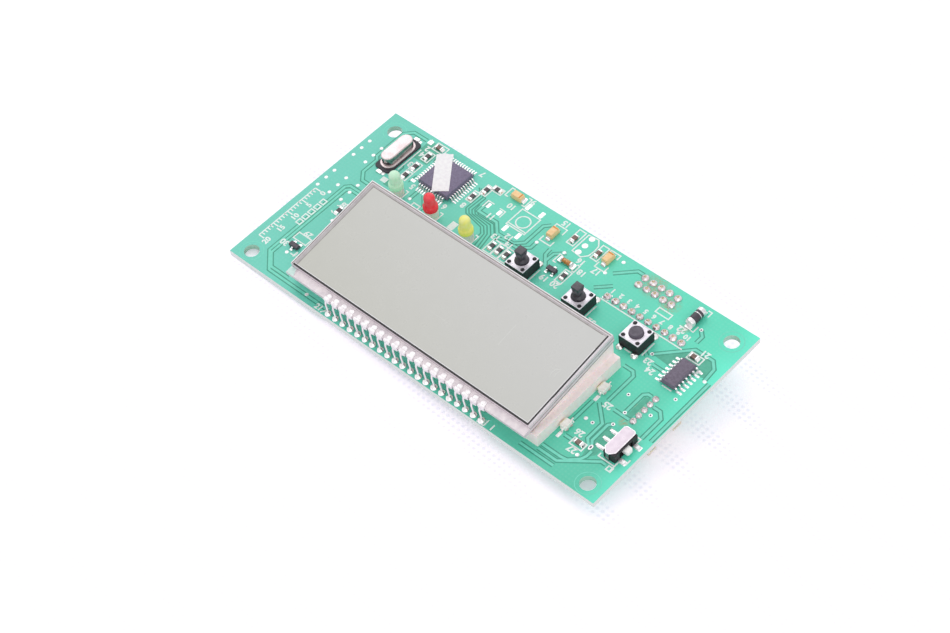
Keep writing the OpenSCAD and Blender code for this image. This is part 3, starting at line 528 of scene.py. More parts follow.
# Acrylic printed white on its faces, so it looks milky and a little pink, with rows of faint dots
ACRYLIC = LightGuide(
    "printed acrylic light guide", "acrylic", "#FFF4F2", "#FCECEA", grain=1.6, roughness=0.35, spread=0.08,
    ior=1.49, subsurface=0.1,
)
WHITE_FILM = Finish(
    "white backlight film", "white_film", "#FCF3F2", "#F7EBEA", grain=2.2, roughness=0.55, spread=0.06,
    pores=0.5, depth=0.02,
)
LED_SHELL = Finish("white ceramic lamp body", "lamp_housing", "#FBFAF6", "#EFEDE6", grain=0.6, roughness=0.4)
LED_GEL = Finish(
    "yellow phosphor gel", "lamp_window", "#FAF6DC", "#F4EDC4", grain=0.5, roughness=0.25, depth=0.02
)
GREEN_LENS = Lamp(
    "pale green epoxy lens", "green_lens", "#CCFFDA", "#C4FFD6", grain=1.2, roughness=0.16, spread=0.03,
    depth=0.004, ior=1.36, heart="#E2FFE8",
)
RED_LENS = Lamp(
    "red epoxy lens", "red_lens", "#FF2A38", "#FF2E3C", grain=1.2, roughness=0.16, spread=0.03, depth=0.004,
    ior=1.36, heart="#FF6A74",
)
YELLOW_LENS = Lamp(
    "yellow epoxy lens", "yellow_lens", "#FFFD6E", "#FFFB66", grain=1.2, roughness=0.16, spread=0.03,
    depth=0.004, ior=1.36, heart="#FFFFB8",
)
SPACER = Finish("natural nylon spacer", "spacer_nylon", "#F6EFE6", "#E9DED2", grain=1.2, subsurface=0.2)
WIRE = Finish("tinned lead wire", "tinned_pin", "#D9D8DB", "#B9B7BC", grain=0.6, roughness=0.3, metallic=0.9)
# Leads cut off short: greyer, with the copper showing through the tin
LEAD_GREY = Finish(
    "cut lead end", "solder", "#CFC4C4", "#A9958C", grain=0.4, roughness=0.35, metallic=0.8, pores=0.3,
    depth=0.03,
)
# Glass-filled nylon from a spark-eroded mould: black, with a fine even matt grain
SWITCH_BLACK = Finish(
    "black glass-filled nylon", "switch_plastic", "#131116", "#1B181E", grain=0.5, roughness=0.5, pores=0.2,
    depth=0.02,
)
# Stamped and tin-plated steel with a bluish cast; its faint rolling lines are not drawn
STEEL_COVER = Finish(
    "stamped tinned steel cover", "switch_cover", "#F6F0F8", "#E8E1EC", grain=1.4, roughness=0.34,
    metallic=0.3, pores=0.5, depth=0.015,
)
# The shell's ends stand at a slant to the light and mirror the board
SHELL_END = Finish(
    "mirror-bright shell end", "switch_cover", "#B9AFAE", "#8F8788", grain=1.2, roughness=0.12, spread=0.05,
    metallic=0.95, pores=0.8,
)
SPRING = Finish("spring steel", "spring_steel", "#C9C9CC", "#A9A9AE", roughness=0.25, metallic=1.0)
PLUNGER = Finish(
    "moulded plunger plastic", "plunger_plastic", "#332E3A", "#2A2530", grain=0.7, roughness=0.36,
    depth=0.015, coat=0.35,
)
# A lighter grey copy of the plunger plastic, for the low plunger
LIGHTER_PLUNGER = Finish("lighter grey plunger plastic", "plunger_plastic", "#5F5866", "#524B58", grain=0.9, depth=0.015)
SLIDE_COVER = Finish(
    "bright tinned switch shell", "switch_cover", "#F2E4F0", "#E9DAE8", grain=1.6, roughness=0.36,
    metallic=0.1, pores=0.6, depth=0.015,
)
KNOB = Finish("white moulded knob", "knob_plastic", "#FFFFFE", "#FCF9F7", roughness=0.4)
BRASS = Finish("contact brass", "contact_brass", "#D9C08A", "#B89A5E", roughness=0.3, metallic=1.0)
CRYSTAL_BASE = Finish(
    "black crystal seat", "crystal_base", "#2B2730", "#38333D", grain=0.6, roughness=0.5, depth=0.02
)
CAN_STEEL = Finish(
    "drawn nickel-plated can", "crystal_steel", "#F0DEE0", "#E2D0D2", grain=2.0, roughness=0.24,
    metallic=0.35, pores=0.7, depth=0.015,
)
QUARTZ = Finish(
    "quartz", "quartz", "#DCE6EA", "#D0DCE2", roughness=0.1, spread=0.02, transmission=0.8, ior=1.55
)
# Silica-filled epoxy with the matt grain of its mould
EPOXY = Finish(
    "moulded chip epoxy", "chip_epoxy", "#7D7390", "#70667F", grain=0.5, roughness=0.5, pores=0.22, depth=0.02
)
# Also the dark discs painted in the via bores as their shade
DARK_EPOXY_AND_BORE_SHADE = Finish(
    "dark moulded chip epoxy and painted via bore shade", "chip_epoxy", "#71677A", "#655B6C", grain=0.5, roughness=0.48, pores=0.22,
    depth=0.02,
)
BLACK_EPOXY = Finish(
    "black moulded transistor epoxy", "chip_epoxy", "#4E4650", "#433B45", grain=0.5, roughness=0.46,
    pores=0.22, depth=0.02,
)
PAPER = Finish(
    "white label paper", "label_paper", "#FFFEFF", "#F7F3F8", grain=0.9, roughness=0.75, pores=0.18,
    depth=0.02,
)
TANTALUM = Finish(
    "orange moulded tantalum epoxy", "tantalum_epoxy", "#FFDCA8", "#FBCB8E", grain=0.6, depth=0.02
)
BAND = Finish("printed polarity band", "tantalum_epoxy", "#E59A50", "#D98A3E", grain=0.5, roughness=0.55)
DIODE = Finish(
    "black diode tube", "diode_epoxy", "#3B3740", "#4A4550", grain=0.6, roughness=0.4, pores=0.3, depth=0.02
)
BEAD = Finish(
    "orange glass bead", "bead_glass", "#F3AE5E", "#D07C2E", grain=0.7, roughness=0.1, spread=0.03,
    transmission=0.3, coat=0.5,
)
RESISTOR = Finish("resistor glaze", "resistor_glaze", "#4A3E44", "#382F34", grain=0.4, roughness=0.35)
CAPACITOR = Finish(
    "fired capacitor ceramic", "capacitor_ceramic", "#8A6F66", "#6F564E", grain=0.5, roughness=0.4
)
HEADER = Finish("black header plastic", "header_plastic", "#232126", "#2D2A31", grain=0.6, depth=0.02)
GOLD = Finish("gold flashed pin", "tinned_pin", "#E3CC90", "#CDB06A", grain=1.2, roughness=0.25, metallic=1.0)
NYLON = Finish(
    "natural nylon housing", "connector_nylon", "#F5ECDC", "#EADFCB", grain=1.3, roughness=0.42, pores=0.3,
    depth=0.02, subsurface=0.15,
)


# ---------------------------------------------------------------- shaping


def only(obj: bpy.types.Object) -> None:
    """Leaves edit mode, and makes one object the selected and active one.

    Args:
        obj: The one object.
    """
    if bpy.context.mode != "OBJECT":
        bpy.ops.object.mode_set(mode="OBJECT")
    fresh()
    obj.select_set(True)
    bpy.context.view_layer.objects.active = obj


def fresh() -> None:
    """Deselects everything, so that the next primitive alone is selected."""
    bpy.ops.object.select_all(action="DESELECT")


def edit_all() -> None:
    """Goes into edit mode with the whole mesh selected."""
    bpy.ops.object.mode_set(mode="EDIT")
    bpy.ops.mesh.select_all(action="SELECT")


def finish_shell() -> None:
    """Turns every face of the mesh outwards and leaves edit mode."""
    bpy.ops.mesh.select_all(action="SELECT")
    bpy.ops.mesh.normals_make_consistent(inside=False)
    bpy.ops.object.mode_set(mode="OBJECT")


def raise_flat(thick: float) -> None:
    """Extrudes what is selected straight up, and finishes the shell."""
    bpy.ops.mesh.extrude_region_move(TRANSFORM_OT_translate={"value": (0, 0, thick * MM)})
    finish_shell()


def spot(x: float, y: float, z: float = 0.0, turn: float = 0.0, size: Triple = (1.0, 1.0, 1.0)) -> Matrix:
    """A place for a copy: x, y and z in mm, a turn about Z in degrees, and how much each side grows."""
    return (
        Matrix.Translation((x * MM, y * MM, z * MM))
        @ Matrix.Rotation(math.radians(turn), 4, "Z")
        @ Matrix.Diagonal((*size, 1.0))
    )


@dataclass
class Blank:
    """A mesh in work. It starts as a primitive and is shaped in edit mode until it is the piece."""

    obj: bpy.types.Object

    @classmethod
    def block(cls, size: Triple, at: Triple = (0.0, 0.0, 0.0)) -> "Blank":
        """Starts a block with the middle of its bottom face at a point.

        Args:
            size: Its length, width and height.
            at: The point.

        Returns:
            The block.
        """
        fresh()
        middle = (at[0] * MM, at[1] * MM, (at[2] + size[2] / 2) * MM)
        bpy.ops.mesh.primitive_cube_add(size=1, location=middle, scale=[s * MM for s in size])
        bpy.ops.object.transform_apply(location=True, rotation=True, scale=True)
        return cls(bpy.context.object)

    @classmethod
    def rod(cls, radius: float, length: float, at: Triple, sides: int) -> "Blank":
        """Starts an upright rod centred on a point.

        Args:
            radius: Its radius.
            length: Its length along Z.
            at: The point.
            sides: How many faces it has around.

        Returns:
            The rod.
        """
        fresh()
        bpy.ops.mesh.primitive_cylinder_add(
            vertices=sides, radius=radius * MM, depth=length * MM, location=[v * MM for v in at]
        )
        bpy.ops.object.transform_apply(location=True, rotation=True, scale=True)
        return cls(bpy.context.object)

    @classmethod
    def turned(cls, profile: Sequence[Pair], steps: int = 32) -> "Blank":
        """Turns a shape on the Z axis.

        Args:
            profile: (radius, height) points from one end of the axis to the other.
            steps: How many faces go round.

        Returns:
            The turned shape, standing at the origin.
        """
        fresh()
        bpy.ops.mesh.primitive_plane_add(size=MM, location=(0, 0, 0))
        obj = bpy.context.object
        bpy.ops.object.mode_set(mode="EDIT")
        bpy.ops.mesh.select_mode(type="VERT")
        bpy.ops.mesh.merge(type="CENTER")
        bpy.ops.transform.translate(value=(profile[0][0] * MM, 0, profile[0][1] * MM))
        for (r0, z0), (r1, z1) in zip(profile, profile[1:]):
            step = ((r1 - r0) * MM, 0, (z1 - z0) * MM)
            bpy.ops.mesh.extrude_vertices_move(TRANSFORM_OT_translate={"value": step})
        bpy.ops.mesh.select_all(action="SELECT")
        bpy.ops.mesh.spin(steps=steps, angle=2 * math.pi, center=(0, 0, 0), axis=(0, 0, 1))
        bpy.ops.mesh.select_all(action="SELECT")
        bpy.ops.mesh.remove_doubles(threshold=2 * MERGE)
        finish_shell()
        return cls(obj)

    @classmethod
    def plate(cls, outline: Sequence[Pair], thick: float, z: float = 0.0) -> "Blank":
        """Starts a flat plate from its outline, and extrudes it up from height z.

        Args:
            outline: Its corners, in order.
            thick: Its thickness.
            z: Its underside's height.

        Returns:
            The plate.
        """
        fresh()
        bpy.ops.mesh.primitive_circle_add(vertices=len(outline), radius=MM, fill_type="NGON")
        obj = bpy.context.object
        for vertex, (x, y) in zip(obj.data.vertices, outline):
            vertex.co = (x * MM, y * MM, z * MM)
        edit_all()
        raise_flat(thick)
        return cls(obj)

    @classmethod
    def strokes(cls, runs: Sequence[Sequence[Pair]], width: float, thick: float, z: float = 0.0) -> "Blank":
        """Draws flat lines with mitred corners. A run that ends where it starts is a closed one.

        Args:
            runs: Each line's (x, y) points.
            width: The width of the lines.
            thick: Their thickness.
            z: The height of their underside.

        Returns:
            All the lines as one mesh.
        """
        made = []
        for i, run in enumerate(runs):
            points = [Vector((x, y, 0.0)) for x, y in run]
            closed = (points[0] - points[-1]).length < 1e-6
            ways = [(b - a).normalized() for a, b in zip(points, points[1:])]
            # Lines that cross lie a few thousandths apart, so that no two faces share a plane
            low = z + 0.002 * (i % 5)
            fresh()
            bpy.ops.mesh.primitive_grid_add(x_subdivisions=1, y_subdivisions=len(points) - 1, size=MM)
            obj = bpy.context.object
            for j, point in enumerate(points):
                before = ways[j - 1] if j or closed else ways[0]
                after = ways[j] if j < len(ways) else (ways[0] if closed else ways[-1])
                across = Vector((-(before + after).y, (before + after).x, 0.0)).normalized()
                reach = width / 2 / max(across.dot(Vector((-after.y, after.x, 0.0))), 0.3)
                for k, side in ((2 * j, 1), (2 * j + 1, -1)):
                    place = point + across * reach * side
                    obj.data.vertices[k].co = (place.x * MM, place.y * MM, low * MM)
            edit_all()
            if closed:
                bpy.ops.mesh.remove_doubles(threshold=MERGE)
            raise_flat(thick)
            made.append(cls(obj))
        return joined(made)

    @classmethod
    def numeral(cls, text: str, at: Pair, height: float, turn: float) -> "Blank":
        """Prints a plain number, centred on a point and turned about it.

        Args:
            text: The number.
            at: The point.
            height: The figures' size.
            turn: The turn in degrees.

        Returns:
            The printed number.
        """
        fresh()
        bpy.ops.object.text_add(location=(0, 0, 0))
        obj = bpy.context.object
        obj.data.body = text
        # A figure is 1 / 1.35 of the type's size high, and the offset makes its strokes bold
        obj.data.size = height * 1.35 * MM
        obj.data.align_x, obj.data.align_y = "CENTER", "CENTER"
        obj.data.extrude = 0.012 * MM
        obj.data.offset = 0.095 * MM
        obj.data.resolution_u = 3
        bpy.ops.object.convert(target="MESH")
        return cls(bpy.context.object).moved(spot(*at, turn=turn))

    def pick(self, kind: Element, test: Callable[[Vector, Vector], bool]) -> "Blank":
        """Selects in edit mode what passes a test.

        Args:
            kind: Points, edges or faces.
            test: Takes the middle in mm, and the normal, or for an edge its direction.

        Returns:
            The blank itself, in edit mode.
        """
        only(self.obj)
        bpy.ops.object.mode_set(mode="EDIT")
        bpy.ops.mesh.select_mode(type=kind.value)
        bpy.ops.mesh.select_all(action="DESELECT")
        mesh = bmesh.from_edit_mesh(self.obj.data)
        if kind is Element.FACE:
            for face in mesh.faces:
                face.select_set(test(face.calc_center_median() / MM, face.normal))
        elif kind is Element.EDGE:
            for edge in mesh.edges:
                a, b = edge.verts[0].co, edge.verts[1].co
                edge.select_set(test((a + b) / (2 * MM), (b - a).normalized()))
        else:
            for vertex in mesh.verts:
                vertex.select_set(test(vertex.co / MM, vertex.normal))
        mesh.select_flush_mode()
        bmesh.update_edit_mesh(self.obj.data)
        return self

    def inset(self, by: float, depth: float = 0.0) -> "Blank":
        """Insets the picked faces, and pushes the inner ones out by depth."""
        bpy.ops.mesh.inset(thickness=by * MM, depth=depth * MM)
        return self

    def bevel(self, width: float, segments: int = 3) -> "Blank":
        """Bevels the picked edges."""
        bpy.ops.mesh.bevel(offset=width * MM, segments=segments, affect="EDGES")
        return self

    def shift(self, by: Triple) -> "Blank":
        """Moves what is picked."""
        bpy.ops.transform.translate(value=[v * MM for v in by])
        return self

    def resize(self, by: Triple, about: Triple) -> "Blank":
        """Resizes what is picked about a point."""
        bpy.ops.transform.resize(value=by, center_override=[v * MM for v in about])
        return self

    def cut(self, cuts: int) -> "Blank":
        """Cuts the picked edges into even lengths."""
        bpy.ops.mesh.subdivide(number_cuts=cuts)
        return self

    def done(self) -> "Blank":
        """Leaves edit mode."""
        bpy.ops.object.mode_set(mode="OBJECT")
        return self

    def modified(self, kind: str, **settings: Any) -> "Blank":
        """Adds a modifier and applies it.

        Args:
            kind: The modifier's type.
            settings: Its settings.

        Returns:
            The same blank.
        """
        only(self.obj)
        modifier = self.obj.modifiers.new(kind.lower(), kind)
        for key, value in settings.items():
            setattr(modifier, key, value)
        bpy.ops.object.modifier_apply(modifier=modifier.name)
        return self

    def eased(self, width: float, segments: int = 2, angle: float = 35.0) -> "Blank":
        """Rounds every edge sharper than an angle."""
        return self.modified(
            "BEVEL", width=width * MM, segments=segments, limit_method="ANGLE",
            angle_limit=math.radians(angle),
        )

    def moved(self, place: Matrix) -> "Blank":
        """Moves the mesh itself."""
        self.obj.data.transform(place)
        return self

    def lumpy(self, height: float, grain: float, seed: float = 0.0) -> "Blank":
        """Pushes every point along its normal by a smooth random amount, up to height each way.

        Args:
            height: How far, at most.
            grain: How far apart the lumps are.
            seed: Tells one run of lumps from the next.

        Returns:
            The same blank.
        """
        normals = [v.normal.copy() for v in self.obj.data.vertices]
        for vertex, normal in zip(self.obj.data.vertices, normals):
            wave = noise.noise(vertex.co / (grain * MM) + Vector((seed, 0, 0)))
            vertex.co += normal * wave * height * MM
        return self

    def repeated(self, places: Iterable[Matrix]) -> "Blank":
        """Copies the shape to each place and joins the copies. The first shape is used up.

        Args:
            places: Where the copies stand.

        Returns:
            All the copies as one blank.
        """
        made = []
        for place in places:
            twin = self.obj.copy()
            twin.data = self.obj.data.copy()
            twin.data.transform(place)
            bpy.context.scene.collection.objects.link(twin)
            made.append(Blank(twin))
        bpy.data.objects.remove(self.obj)
        return joined(made)

    def settle(
        self, name: str, finish: Finish, replaces: Sequence[str] = (), body: str = "root"
    ) -> bpy.types.Object:
        """Makes the blank a piece of the object.

        Args:
            name: The piece's name.
            finish: Its finish.
            replaces: The CAD nodes that it stands for.
            body: The body that it rides on.

        Returns:
            The piece's object.
        """
        obj = self.obj
        only(obj)
        bpy.ops.object.shade_smooth_by_angle(angle=math.radians(SMOOTH))
        obj.name = obj.data.name = name
        obj.data.transform(spot(0, BOARD_SHIFT, BOARD_T))
        obj.data.materials.clear()
        obj.data.materials.append(finish.material())
        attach(obj, body)
        if replaces:
            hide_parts(*replaces)
        log.info("%s: %s, %d faces, on %s", name, finish.name, len(obj.data.polygons), body)
        return obj


def joined(blanks: Sequence[Blank]) -> Blank:
    """Joins several blanks into the first.

    Args:
        blanks: Those to join.

    Returns:
        The first, with all the others in it.
    """
    fresh()
    for blank in blanks:
        blank.obj.select_set(True)
    bpy.context.view_layer.objects.active = blanks[0].obj
    bpy.ops.object.join()
    return Blank(bpy.context.view_layer.objects.active)


def dress(node: str, finish: Finish, ease: float = 0.0) -> None:
    """Gives a solid its finish, and rounds its edges by ease in mm while it is shown.

    Args:
        node: The solid's name.
        finish: Its surface.
        ease: The rounding's width.
    """
    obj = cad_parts[node]
    obj.data.materials.clear()
    obj.data.materials.append(finish.material())
    for polygon in obj.data.polygons:
        polygon.material_index = 0
    if ease:
        weld = obj.modifiers.new("weld", "WELD")
        weld.merge_threshold = 0.5 * MERGE
        bevel = obj.modifiers.new("ease", "BEVEL")
        bevel.width, bevel.segments = ease * MM, 2
        bevel.limit_method, bevel.angle_limit = "ANGLE", math.radians(SMOOTH)
    log.info("%s: %s", node, finish.name)


def upright(middle: Vector, way: Vector) -> bool:
    """Says whether an edge stands along Z."""
    return abs(way.z) > 0.9


def along_x(middle: Vector, way: Vector) -> bool:
    """Says whether an edge lies along X."""
    return abs(way.x) > 0.9


def along_y(middle: Vector, way: Vector) -> bool:
    """Says whether an edge lies along Y."""
    return abs(way.y) > 0.9


def top_face(middle: Vector, normal: Vector) -> bool:
    """Says whether a face looks up."""
    return normal.z > 0.9


def about_z(degrees: float) -> Matrix:
    """Turns about Z."""
    return Matrix.Rotation(math.radians(degrees), 4, "Z")


def mound(size: Triple, ease: float, segments: int, lumps: float, grain: float) -> Blank:
    """Makes a small mound of solder: a block with rounded edges and lumps."""
    return Blank.block(size).eased(ease, segments).lumpy(lumps, grain)


def via_ring() -> Blank:
    """Turns the tinned ring round a via, with its lacquered dimple."""
    return Blank.turned(
        [(0.0, 0.012), (0.2, 0.012), (0.24, 0.04), (0.45, 0.045), (0.49, 0.0), (0.0, 0.0)], 20
    )


def hole_rings() -> list[list[Pair]]:
    """The round outlines of the lands about the four mounting holes."""
    return [ring_line(x, y, 3.05, 32) for x, y in MOUNT_HOLES]


def box_line(x0: float, y0: float, x1: float, y1: float) -> list[Pair]:
    """The closed outline of a box."""
    return [(x0, y0), (x1, y0), (x1, y1), (x0, y1), (x0, y0)]


def bracket(x0: float, y0: float, x1: float, y1: float) -> list[Pair]:
    """A box line without its side at x0."""
    return [(x0, y0), (x1, y0), (x1, y1), (x0, y1)]


def cup(x0: float, y0: float, x1: float, y1: float) -> list[Pair]:
    """A box line without its side at y0."""
    return [(x0, y0), (x0, y1), (x1, y1), (x1, y0)]


def ring_line(x: float, y: float, radius: float, steps: int = 24) -> list[Pair]:
    """A closed round outline."""
    return [
        (x + radius * math.cos(2 * math.pi * i / steps), y + radius * math.sin(2 * math.pi * i / steps))
        for i in range(steps + 1)
    ]


# ---------------------------------------------------------------- sub-assemblies


@dataclass
class BoardDetail:
    """The board's upper surface: tracks, etched zones, printed lines, numbers, pads and vias."""

    track_w: float = 0.66
    gap_w: float = 1.25
    # The tracks that fan out from the controller show only as the narrow gaps between them
    fan_gap_w: float = 0.34
    ink_w: float = 0.36
    # A printed ruler, from its zero at the top: where its spine stands, and how long its marks are
    ruler_at: Pair = (-57.9, -1.8)
    ruler_mm: int = 20
    marks: Pair = (1.1, 1.9)

    def build(self) -> None:
        """Builds every layer from the board's face up."""
        dress("circuit_board", MASK)
        self.zones()
        self.tracks()
        self.ink()
        self.numbers()
        self.pads()
        self.vias()

    def zones(self) -> None:
        """Lays the places where the copper is etched away over a wide area."""
        outlines = [
            cup(-45.2, 12.6, -41.8, 10.0),
            cup(-46.0, 28.5, -40.8, 21.5),
            [(43.8, 10.6), (50.4, 17.6), (55.8, 17.6), (57.2, 16.0), (57.3, 12.6), (49.6, 10.2)],
            [(48.6, -11.6), (51.9, -11.6), (51.9, -19.6), (49.8, -22.4), (48.8, -19.8)],
            [(50.0, -7.6), (51.4, -7.6), (51.4, 0.4), (50.0, 0.0)],
        ]
        plates = [Blank.plate(outline, 0.008) for outline in outlines]
        joined(plates).settle("etched_zones", ZONE)

    def tracks(self) -> None:
        """Lays the tracks, each with the etched gap that parts it from the copper round it."""
        runs = [
            [(-47.0, 4.3), (-51.2, 4.3), (-52.2, 3.3), (-52.2, -23.5), (-47.6, -28.1), (-27.2, -28.1)],
            [(-47.0, 3.4), (-50.4, 3.4), (-51.25, 2.6), (-51.25, -23.8), (-47.9, -27.1), (-42.0, -27.1)],
            [
                (-46.6, 27.9), (-51.2, 27.9), (-53.2, 25.9), (-53.2, 16.0), (-52.2, 15.0), (-52.2, 9.9),
                (-50.2, 7.6), (-47.0, 7.6),
            ],
            [
                (-19.6, 22.6), (-19.6, 18.3), (-13.5, 18.3), (-10.9, 15.7), (-5.5, 15.7), (-3.4, 17.8),
                (-3.4, 24.5), (-2.0, 26.0),
            ],
            [(2.9, 20.0), (3.1, 18.0), (5.5, 15.2)], [(7.0, 21.5), (4.6, 19.4), (4.4, 16.6)],
            [(-36.2, 10.5), (-36.2, 13.6)], [(-34.0, 13.4), (-31.6, 11.0), (-31.6, 9.4)],
            [(-9.6, 14.8), (-7.2, 15.3), (-3.4, 15.3), (-1.2, 17.4), (-1.2, 19.6)],
            [(40.2, 3.9), (43.0, 3.9), (44.05, 2.8), (44.05, -6.2)], [(46.8, -7.3), (51.3, -7.3)],
            [(42.8, -7.9), (47.3, -12.0), (47.3, -17.2), (48.9, -18.8)],
            [(49.3, -10.6), (48.5, -11.5), (48.5, -17.0), (49.4, -18.2)],
            [(51.2, 0.95), (50.1, 0.95), (49.25, 0.1), (49.25, -6.2)],
            [(53.4, -1.1), (55.4, -1.1), (56.95, -2.7), (56.95, -9.6)], [(41.3, -8.4), (41.3, -16.2)],
            [(42.6, -19.8), (45.0, -19.8)],
            [(40.3, -25.0), (45.8, -25.0), (47.6, -24.7), (49.9, -22.5), (50.4, -21.2), (50.4, -19.4)],
            [(40.3, -26.4), (45.9, -26.4), (54.0, -20.2), (55.4, -20.2)], [(36.0, -27.9), (46.2, -27.9)],
            [(43.2, 10.5), (50.4, 17.9), (55.6, 17.9), (57.4, 16.0), (57.7, 12.0)],
            [(45.4, 8.3), (48.6, 8.3)], [(40.8, 10.6), (42.6, 9.4)],
            [(47.7, 23.3), (49.2, 21.8), (49.2, 19.6)], [(20.0, 23.6), (24.4, 27.9), (26.2, 27.9)],
            [(19.2, 17.4), (22.6, 20.6)], [(59.15, 12.0), (59.15, -9.0)],
        ]
        fan = [
            [
                (-24.8, 24.2), (-22.7, 22.3), (-22.8, 17.1), (-21.6, 15.8), (-15.6, 14.7), (-14.2, 13.2),
                (-13.8, 9.5),
            ],
            [
                (-24.2, 24.3), (-21.8, 22.4), (-22.1, 17.4), (-20.9, 16.2), (-15.1, 15.3), (-13.4, 13.6),
                (-12.7, 9.3),
            ],
            [
                (-22.9, 23.7), (-21.0, 22.4), (-21.2, 17.6), (-20.2, 16.6), (-14.6, 16.0), (-12.7, 14.0),
                (-11.6, 9.0),
            ],
            [(-20.8, 20.1), (-20.6, 18.0), (-19.5, 17.0), (-14.1, 16.7), (-11.8, 14.3), (-10.8, 8.9)],
            [(-19.9, 19.5), (-19.7, 18.1), (-18.9, 17.4), (-13.6, 17.4), (-11.4, 15.2), (-9.5, 14.6)],
            [(-44.9, 14.2), (-44.9, 17.2), (-45.6, 18.0)], [(-40.4, 14.4), (-40.4, 17.0), (-39.6, 17.8)],
            [(-40.4, 26.4), (-40.4, 24.0), (-39.8, 23.4)],
        ]
        Blank.strokes(fan, self.fan_gap_w, 0.014).settle("fan_gaps", GAP)
        Blank.strokes(runs, self.gap_w, 0.012).settle("track_gaps", GAP)
        Blank.strokes(runs, self.track_w, 0.024).settle("tracks", TRACK)
        Blank.strokes(hole_rings(), 0.22, 0.014).settle("hole_land_rings", TRACK)

    def ink(self) -> None:
        """Prints the outlines round the parts, and the plain scale along the left edge."""
        runs = [
            [(-45.6, 24.6), (-45.6, 15.9)], [(-47.2, 13.6), (-46.1, 13.1)],
            box_line(-43.6, 26.6, -39.9, 29.1), box_line(-43.5, 22.2, -41.3, 25.4),
            box_line(-43.6, 17.8, -41.5, 20.8), box_line(-43.6, 14.2, -41.5, 17.2),
            box_line(-24.9, 19.2, -23.1, 22.8), box_line(-23.6, 22.9, -21.6, 26.3),
            box_line(-22.0, 25.5, -18.8, 27.3), *[bracket(x + 1.0, 12.0, x + 1.9, 9.4) for x in LAMPS_X],
            cup(-34.4, 9.2, -32.2, 10.2), bracket(-17.0, 26.4, -18.0, 29.3),
            bracket(-12.4, 26.4, -11.4, 29.3), box_line(-11.3, 19.5, -5.3, 25.6),
            [(-11.3, 20.1), (-5.3, 20.1)], ring_line(-8.2, 22.4, 1.9),
            [(-19.9, 20.0), (-19.9, 22.4), (-17.9, 22.4)], [(-14.0, 19.9), (-14.0, 22.2), (-15.9, 22.2)],
            cup(-1.3, 25.2, 2.2, 27.2), cup(-1.3, 22.3, 2.2, 20.7), box_line(4.5, 24.2, 6.6, 29.3),
            box_line(12.4, 24.0, 14.4, 29.0),
            [
                (7.4, 29.3), (10.4, 29.6), (11.7, 28.0), (11.9, 26.1), (11.7, 24.2), (10.4, 22.7),
                (7.4, 23.0), (7.4, 29.3),
            ],
            cup(15.0, 27.4, 18.0, 29.0), cup(15.0, 24.4, 18.0, 22.6), bracket(6.8, 17.6, 5.9, 20.3),
            bracket(11.5, 18.0, 12.3, 20.3), box_line(10.2, 13.2, 12.3, 17.5),
            box_line(-10.15, 9.5, -7.9, 13.9), box_line(-7.7, 9.5, -5.5, 13.9),
            box_line(-5.3, 9.5, -3.05, 13.9), [(5.35, 8.4), (5.35, 13.4)], [(23.55, 8.4), (23.55, 13.4)],
            [(41.6, 8.7), (41.6, 13.4)], [(37.2, 7.7), (39.1, 7.7)], [(19.1, 7.7), (21.0, 7.7)],
            [(0.9, 7.7), (2.8, 7.7)], [(22.6, 15.9), (47.8, 15.9)], box_line(35.6, 20.9, 39.6, 22.5),
            [(45.4, 28.9), (46.5, 28.9), (46.5, 27.2)], [(46.6, 23.6), (46.6, 21.6), (45.4, 21.6)],
            box_line(50.1, 14.8, 53.8, 16.9), [(50.8, 5.0), (53.7, 5.0)], box_line(44.9, -20.9, 48.5, -18.8),
            [(52.4, -18.4), (52.4, -19.4), (57.15, -19.4)], [(57.15, -17.9), (57.15, -21.0)],
            box_line(56.1, -21.2, 57.4, -20.0), [(58.9, -15.8), (58.9, -17.6)],
            [(55.4, -9.9), (57.0, -9.9), (57.0, -11.3)], box_line(-50.4, -17.0, -46.0, -14.8),
            [(-47.2, -21.1), (-45.8, -21.1), (-45.8, -19.8)], [(-49.2, -2.6), (-48.6, -2.2)],
            [(-49.2, -4.6), (-48.4, -5.0)], [(-27.9, -29.7), (-27.1, -28.7), (-27.1, -27.6)],
            [(26.3, -29.7), (26.3, -27.7)], [(24.1, -29.7), (26.3, -29.7)],
        ]
        Blank.strokes(runs + self.ruler(), self.ink_w, 0.02, 0.012).settle("printed_lines", INK)
        patches = [
            Blank.plate(bracket(*box), 0.03)
            for box in ((-46.8, 10.4, -45.0, 12.0), (-22.3, 9.3, -20.4, 11.9))
        ]
        joined(patches).settle("printed_patches", INK)

    def ruler(self) -> list[list[Pair]]:
        """The lines of a plain ruler in millimetres, and of a column of blank boxes beside it.

        Returns:
            The runs of points.
        """
        x, y = self.ruler_at
        short, long = self.marks
        runs = [[(x, y - i), (x + (short if i % 5 else long), y - i)] for i in range(self.ruler_mm + 1)]
        runs.append([(x, y), (x, y - self.ruler_mm)])
        return runs + [box_line(-53.6, -3.2 - 2.1 * i, -52.2, -4.6 - 2.1 * i) for i in range(5)]

